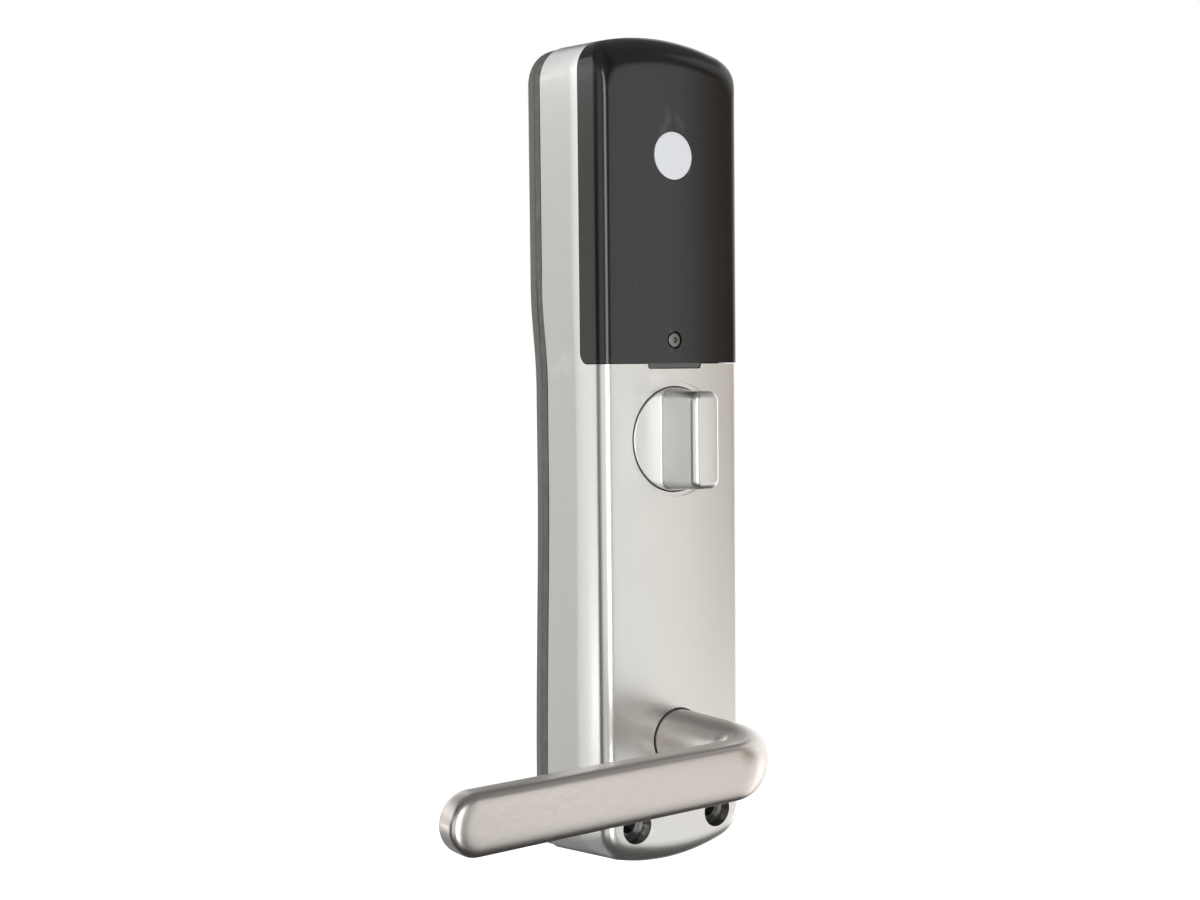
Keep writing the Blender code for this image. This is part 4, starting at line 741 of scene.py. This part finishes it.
class Surface:
    """A node material built up in layers over object coordinates in metres."""

    def __init__(self, name):
        self.material = bpy.data.materials.new(name)
        self.material.use_nodes = True
        self.tree = self.material.node_tree
        self.shader = self.tree.nodes["Principled BSDF"]
        self.place = self.tree.nodes.new("ShaderNodeTexCoord").outputs["Object"]

    def node(self, kind, **inputs):
        made = self.tree.nodes.new(kind)
        for key, value in inputs.items():
            made.inputs[key.replace("_", " ")].default_value = value
        return made

    def link(self, source, target):
        self.tree.links.new(source, target)

    def feed(self, value, target):
        """Sets an input from a node's output, a plain colour or a number."""
        if isinstance(value, tuple):
            target.default_value = (*value, 1)
        elif isinstance(value, float):
            target.default_value = value
        else:
            self.link(value, target)

    def noise(self, scale, stretch=(1, 1, 1), detail=3.0):
        """Noise with features about 1/scale metres across, longer where stretch is small."""
        mapping = self.node("ShaderNodeMapping")
        mapping.inputs["Scale"].default_value = stretch
        self.link(self.place, mapping.inputs["Vector"])
        made = self.node("ShaderNodeTexNoise", Scale=scale, Detail=detail, Roughness=0.55)
        self.link(mapping.outputs["Vector"], made.inputs["Vector"])
        return made.outputs["Fac"]

    def ramp(self, source, low, high, out_low, out_high):
        made = self.node("ShaderNodeMapRange", From_Min=low, From_Max=high)
        made.inputs["To Min"].default_value, made.inputs["To Max"].default_value = out_low, out_high
        self.link(source, made.inputs["Value"])
        return made.outputs["Result"]

    def multiply(self, a, b):
        made = self.node("ShaderNodeMath")
        made.operation = "MULTIPLY"
        self.link(a, made.inputs[0])
        self.link(b, made.inputs[1])
        return made.outputs[0]

    def edges(self):
        """A mask of the outer edges, where a finish wears first."""
        pointiness = self.node("ShaderNodeNewGeometry").outputs["Pointiness"]
        return self.ramp(pointiness, 0.51, 0.6, 0.0, 1.0)

    def blend(self, mask, under, over):
        """A colour between two others, by a mask or a plain share."""
        made = self.node("ShaderNodeMix")
        made.data_type = "RGBA"
        self.feed(mask, made.inputs["Factor"])
        self.feed(under, made.inputs[MIX_UNDER])
        self.feed(over, made.inputs[MIX_OVER])
        return made.outputs[MIX_RESULT]

    def bump(self, height, depth):
        made = self.node("ShaderNodeBump", Strength=1.0, Distance=depth)
        self.link(height, made.inputs["Height"])
        self.link(made.outputs["Normal"], self.shader.inputs["Normal"])

    def specks(self, spacing, radius, share):
        """A mask of small dots, one to a cell of about spacing metres, in a share of the cells."""
        cells = self.node("ShaderNodeTexVoronoi", Scale=1 / spacing)
        self.link(self.place, cells.inputs["Vector"])
        reach = radius / spacing
        dots = self.ramp(cells.outputs["Distance"], reach, 0.4 * radius / spacing, 0.0, 1.0)
        split = self.node("ShaderNodeSeparateColor")
        self.link(cells.outputs["Color"], split.inputs[0])
        return self.multiply(dots, self.ramp(split.outputs[0], 1 - share, 1.001 - share, 0.0, 1.0))

    def finish(self, colour, roughness, metallic, **shader):
        self.link(colour, self.shader.inputs["Base Color"])
        self.link(roughness, self.shader.inputs["Roughness"])
        self.shader.inputs["Metallic"].default_value = metallic
        for key, value in shader.items():
            self.shader.inputs[key.replace("_", " ")].default_value = value
        return self.material


def shade(colour, factor):
    return tuple(min(1.0, c * factor) for c in colour)


def coated(
    name, colour, roughness, metallic, grain, relief, spread,
    worn=None, stretch=(1, 1, 1), dust=None, **shader,
):
    """A finish with slow drift in colour, and fine grain in colour, gloss and relief.

    worn is the colour of its worn outer edges, and dust that of sparse specks. relief is in
    millimetres, and spread is the share by which the colour varies each way.
    """
    s = Surface(name)
    drift = s.ramp(s.noise(28, detail=2), 0.3, 0.7, 0.0, 1.0)
    grains = s.ramp(s.noise(grain, stretch), 0.3, 0.7, 0.0, 1.0)
    slow = s.blend(drift, shade(colour, 1 - spread), shade(colour, 1 + spread))
    fine = s.blend(grains, shade(colour, 1 - spread), shade(colour, 1 + spread))
    mixed = s.blend(0.5, slow, fine)
    if worn:
        patches = s.ramp(s.noise(160, detail=4), 0.42, 0.6, 0.25, 1.0)
        mixed = s.blend(s.multiply(s.edges(), patches), mixed, worn)
    if dust:
        mixed = s.blend(s.specks(7 * MM, 0.16 * MM, 0.35), mixed, dust)
    s.bump(grains, relief * MM)
    patchy = s.noise(grain * 0.4, stretch)
    gloss = s.ramp(patchy, 0.3, 0.7, roughness * 0.86, roughness * 1.14)
    return s.finish(mixed, gloss, metallic, **shader)


SILVER_COAT = dict(
    roughness=0.36, metallic=0.95, grain=5200, relief=0.002, spread=0.02,
    worn=(0.88, 0.875, 0.86), Coat_Weight=0.8, Coat_Roughness=0.14, Coat_IOR=1.5,
)
silver = coated("silver_coat", (0.80, 0.795, 0.765), **SILVER_COAT)
thumb_silver = coated("silver_coat_turn", (0.80, 0.795, 0.77), **SILVER_COAT)
nickel = coated(
    "brushed_nickel", (0.68, 0.64, 0.605), 0.33, 0.97, grain=4200, relief=0.0005, spread=0.012,
    stretch=(0.3, 1, 1), Coat_Weight=0.35, Coat_Roughness=0.16,
)
gloss_black = coated(
    "black_cover", (0.011, 0.0107, 0.0103), 0.17, 0.0, grain=2400, relief=0.003, spread=0.10,
    worn=(0.035, 0.035, 0.034), dust=(0.3, 0.3, 0.29), Specular_IOR_Level=0.5,
)
# Painted shade: the walls inside the two screw bores get this darker metal, which stands in for the
# shade that falls in them.
bore_painted_shade = coated(
    "bore_painted_shade", (0.16, 0.155, 0.15), 0.36, 0.9, grain=2200, relief=0.006, spread=0.12,
    worn=(0.6, 0.59, 0.57),
)
tab_grey = coated("tab_grey", (0.10, 0.098, 0.094), 0.4, 0.0, grain=2000, relief=0.004, spread=0.08)
grey_plastic = coated(
    "grey_moulding", (0.085, 0.083, 0.076), 0.5, 0.0, grain=1500, relief=0.02, spread=0.1,
    worn=(0.14, 0.14, 0.13),
)
black_plastic = coated(
    "black_moulding", (0.03, 0.03, 0.03), 0.45, 0.0, grain=1500, relief=0.02, spread=0.12,
    worn=(0.06, 0.06, 0.06),
)
rubber = coated(
    "gasket_rubber", (0.14, 0.138, 0.125), 0.62, 0.0, grain=1100, relief=0.03, spread=0.14,
)
steel = coated(
    "zinc_plate", (0.52, 0.53, 0.53), 0.36, 1.0, grain=900, relief=0.01, spread=0.08,
    worn=(0.7, 0.7, 0.68),
)
screw_steel = coated(
    "screw_steel", (0.20, 0.195, 0.19), 0.33, 0.9, grain=2800, relief=0.01, spread=0.1,
    worn=(0.45, 0.44, 0.43),
)
white = coated("white_print", (0.62, 0.635, 0.66), 0.3, 0.0, grain=3000, relief=0.003, spread=0.02)
nylon = coated(
    "nylon", (0.72, 0.70, 0.62), 0.5, 0.0, grain=700, relief=0.01, spread=0.05,
    Subsurface_Weight=0.1,
)
green = coated("board_green", (0.02, 0.13, 0.05), 0.4, 0.0, grain=500, relief=0.03, spread=0.25)
wrap = coated(
    "cell_wrap", (0.10, 0.11, 0.12), 0.3, 0.3, grain=900, relief=0.01, spread=0.15,
    worn=(0.3, 0.3, 0.3),
)
foam = coated("foam", (0.045, 0.045, 0.045), 0.9, 0.0, grain=1300, relief=0.2, spread=0.4)
red = coated("red_moulding", (0.42, 0.03, 0.025), 0.4, 0.0, grain=1500, relief=0.01, spread=0.1)

# What each slot of the CAD looks like
CAD_SURFACES = {
    "satin_silver": silver, "satin_nickel": nickel, "zinc_steel": steel,
    "black_plastic": black_plastic, "grey_plastic": grey_plastic, "red_plastic": red,
    "rubber": rubber, "foam": foam, "nylon": nylon, "white_print": white,
    "circuit_board": green, "battery_wrap": wrap,
}


# ---------------------------------------------------------------- assembly

place(housing(), "base", [silver, bore_painted_shade], ["front_housing"])
place(battery_cover(), "cover", [gloss_black, tab_grey], ["battery_cover"])
place(cover_screw(), "cover_screw", [screw_steel], ["cover_screw"])
place(badge(), "cover", [white], ["cover_badge"])
place(thumb_turn(), "thumb", [thumb_silver], ["thumb_turn"])
place(lever(), "lever", [nickel], ["lever_handle"])
place(gasket(), "base", [rubber], ["door_gasket"])

for obj in frame["nodes"].values():
    for held in obj.material_slots:
        if held.material:
            held.material = CAD_SURFACES[held.material.name.split(".")[0]]
for held in frame["nodes"]["motor_lead"].material_slots:
    held.material = black_plastic


# ---------------------------------------------------------------- studio

# The camera as solved from the outlines in the photo, with shifts in shares of its width
CAMERA_AT = Vector((-0.34924, -0.47835, 0.07600))
CAMERA_AZIMUTH = math.radians(-36.0)
CAMERA_HEIGHT = math.radians(2.85)
CAMERA_ROLL = -0.0104
CAMERA_SHIFT = (2.7 / 1200, 2.0 / 1200)
LENS, SENSOR = 48, 36

OVERHEAD_AT, OVERHEAD_AIM = (-0.5, -0.9, 1.6), (0, -0.02, 0.05)
OVERHEAD_SIZE, OVERHEAD_POWER = 1.2, 10

FLOOR_HALF = 60
FLOOR_DROP = 60 * MM
FLOOR_GLOW = 0.8

# The pale room's light by height, as (share of the way from straight down to straight up, level)
ROOM = ((0.0, 0.02), (0.25, 0.03), (0.36, 0.4), (0.5, 0.5), (0.6, 0.42), (0.7, 0.17), (1.0, 0.2))


def camera():
    az, el = CAMERA_AZIMUTH, CAMERA_HEIGHT
    back = Vector((math.sin(az) * math.cos(el), -math.cos(az) * math.cos(el), math.sin(el)))
    right = Vector((math.cos(az), math.sin(az), 0))
    up = back.cross(right)
    right = math.cos(CAMERA_ROLL) * right + math.sin(CAMERA_ROLL) * up
    up = back.cross(right)
    data = bpy.data.cameras.new("camera")
    data.lens, data.sensor_width = LENS, SENSOR
    data.shift_x, data.shift_y = CAMERA_SHIFT
    data.clip_start, data.clip_end = 0.01, 100
    obj = bpy.data.objects.new("camera", data)
    turn = Matrix((right, up, back)).transposed().to_4x4()
    obj.matrix_world = Matrix.Translation(CAMERA_AT) @ turn
    bpy.context.scene.collection.objects.link(obj)
    bpy.context.scene.camera = obj


def overhead():
    """A soft lamp above the room side, which glossy surfaces don't show."""
    data = bpy.data.lights.new("overhead", "AREA")
    data.shape = "RECTANGLE"
    data.size = data.size_y = OVERHEAD_SIZE
    data.energy = OVERHEAD_POWER
    obj = bpy.data.objects.new("overhead", data)
    obj.location = OVERHEAD_AT
    obj.rotation_mode = "QUATERNION"
    aim = Vector(OVERHEAD_AIM) - Vector(OVERHEAD_AT)
    obj.rotation_quaternion = aim.to_track_quat("-Z", "Y")
    obj.visible_glossy = False
    bpy.context.scene.collection.objects.link(obj)


def floor():
    """A white sweep below the unit, which glossy surfaces don't show."""
    mesh = bpy.data.meshes.new("floor")
    work = bmesh.new()
    bmesh.ops.create_grid(work, x_segments=8, y_segments=8, size=FLOOR_HALF)
    work.to_mesh(mesh)
    work.free()
    obj = bpy.data.objects.new("floor", mesh)
    obj.location.z = cad_low.z - FLOOR_DROP
    surface = bpy.data.materials.new("floor_paper")
    surface.use_nodes = True
    shader = surface.node_tree.nodes["Principled BSDF"]
    shader.inputs["Base Color"].default_value = (0.9, 0.9, 0.9, 1)
    shader.inputs["Roughness"].default_value = 0.9
    shader.inputs["Specular IOR Level"].default_value = 0.0
    shader.inputs["Emission Color"].default_value = (1, 1, 1, 1)
    shader.inputs["Emission Strength"].default_value = FLOOR_GLOW
    mesh.materials.append(surface)
    obj.visible_glossy = False
    bpy.context.scene.collection.objects.link(obj)


# Light panels round the room: (azimuth, half width, soft edge, low, high, soft edge, strength,
# colour). Angles are in degrees; azimuth 0 is straight out from the door and 90 is to its right.
# A panel with a negative strength takes light away.
PANELS = (
    (33, 8.5, 3, -28, 14, 10, 0.78, (1, 0.995, 0.96)),
    (53, 9, 4, -10, 20, 5, -0.48, (0.72, 0.88, 1)),
    (105, 30, 6, -30, 30, 12, 0.85, (1, 1, 0.98)),
    (68, 20, 6, -36, -12, 4, 0.9, (1, 0.98, 0.95)),
    (62, 9, 4, 5, 40, 4, 0.5, (1, 1, 0.97)),
    (-13, 7, 5, -25, 18, 10, 5.2, (1, 1, 1)),
    (-58, 15, 6, -25, 18, 10, 0.55, (1, 1, 1)),
    (-104, 15, 5, -90, 90, 5, -0.5, (1, 1, 1)),
    (13, 5, 4, -90, 90, 5, -0.34, (1, 1, 1)),
    (-155, 32, 4, -15, 12, 4, 0.42, (1, 1, 0.93)),
    (-150, 50, 12, 11.5, 30, 2.5, 1.0, (1, 1, 1)),
    (-150, 45, 12, -70, -24, 8, 0.25, (1, 1, 1)),
    (-140, 8, 6, -12.4, -10.6, 2.2, 2.6, (1, 1, 1)),
)


def world():
    """White to the eye. As light: a pale room, dark below, with a few soft panels."""
    made = bpy.data.worlds.new("studio")
    made.use_nodes = True
    tree = made.node_tree
    link = tree.links.new
    direction = tree.nodes.new("ShaderNodeTexCoord").outputs["Generated"]

    def math_node(operation, *values):
        node = tree.nodes.new("ShaderNodeMath")
        node.operation = operation
        for value, target in zip(values, node.inputs):
            if isinstance(value, (int, float)):
                target.default_value = value
            else:
                link(value, target)
        return node.outputs[0]

    def share_of(value, low, high, kind="SMOOTHSTEP"):
        """How far a value lies on the way from low to high, from 0 to 1."""
        node = tree.nodes.new("ShaderNodeMapRange")
        node.interpolation_type = kind
        node.inputs["From Min"].default_value = low
        node.inputs["From Max"].default_value = high
        link(value, node.inputs["Value"])
        return node.outputs["Result"]

    split = tree.nodes.new("ShaderNodeSeparateXYZ")
    link(direction, split.inputs[0])
    x, y, z = split.outputs
    azimuth = math_node("ARCTAN2", x, math_node("MULTIPLY", y, -1.0))
    elevation = math_node("ARCSINE", z)
    ramp = tree.nodes.new("ShaderNodeValToRGB")
    link(share_of(z, -1, 1, "LINEAR"), ramp.inputs["Fac"])
    stops = ramp.color_ramp.elements
    stops.remove(stops[0])
    stops[0].position = ROOM[0][0]
    stops[0].color = (ROOM[0][1],) * 3 + (1,)
    for position, level in ROOM[1:]:
        stops.new(position).color = (level,) * 3 + (1,)
    light = ramp.outputs["Color"]
    for middle, half_wide, soft_side, low, high, soft_end, strength, colour in PANELS:
        # The difference in azimuth is wrapped, so that a panel may lie across the back.
        turn = math_node("SUBTRACT", azimuth, math.radians(middle))
        wrapped = math_node("ABSOLUTE", math_node("WRAP", turn, math.pi, -math.pi))
        above = math_node("SUBTRACT", elevation, math.radians((low + high) / 2))
        risen = math_node("ABSOLUTE", above)
        half_high = (high - low) / 2
        across = share_of(wrapped, math.radians(half_wide + soft_side), math.radians(half_wide))
        along = share_of(risen, math.radians(half_high + soft_end), math.radians(half_high))
        mask = math_node("MULTIPLY", math_node("MULTIPLY", across, along), abs(strength))
        tint = tree.nodes.new("ShaderNodeVectorMath")
        tint.operation = "SCALE"
        tint.inputs[0].default_value = colour
        link(mask, tint.inputs["Scale"])
        added = tree.nodes.new("ShaderNodeVectorMath")
        added.operation = "ADD" if strength > 0 else "SUBTRACT"
        link(light, added.inputs[0])
        link(tint.outputs[0], added.inputs[1])
        light = added.outputs[0]
    # No direction's light goes below nought.
    lifted = tree.nodes.new("ShaderNodeVectorMath")
    lifted.operation = "MAXIMUM"
    link(light, lifted.inputs[0])
    back = tree.nodes["Background"]
    link(lifted.outputs[0], back.inputs["Color"])
    backdrop = tree.nodes.new("ShaderNodeBackground")
    backdrop.inputs["Color"].default_value = (1, 1, 1, 1)
    chosen = tree.nodes.new("ShaderNodeMixShader")
    link(tree.nodes.new("ShaderNodeLightPath").outputs["Is Camera Ray"], chosen.inputs["Fac"])
    link(back.outputs[0], chosen.inputs[1])
    link(backdrop.outputs[0], chosen.inputs[2])
    link(chosen.outputs[0], tree.nodes["World Output"].inputs["Surface"])
    bpy.context.scene.world = made


camera()
floor()
world()
overhead()

bpy.context.scene.view_settings.view_transform = "Standard"
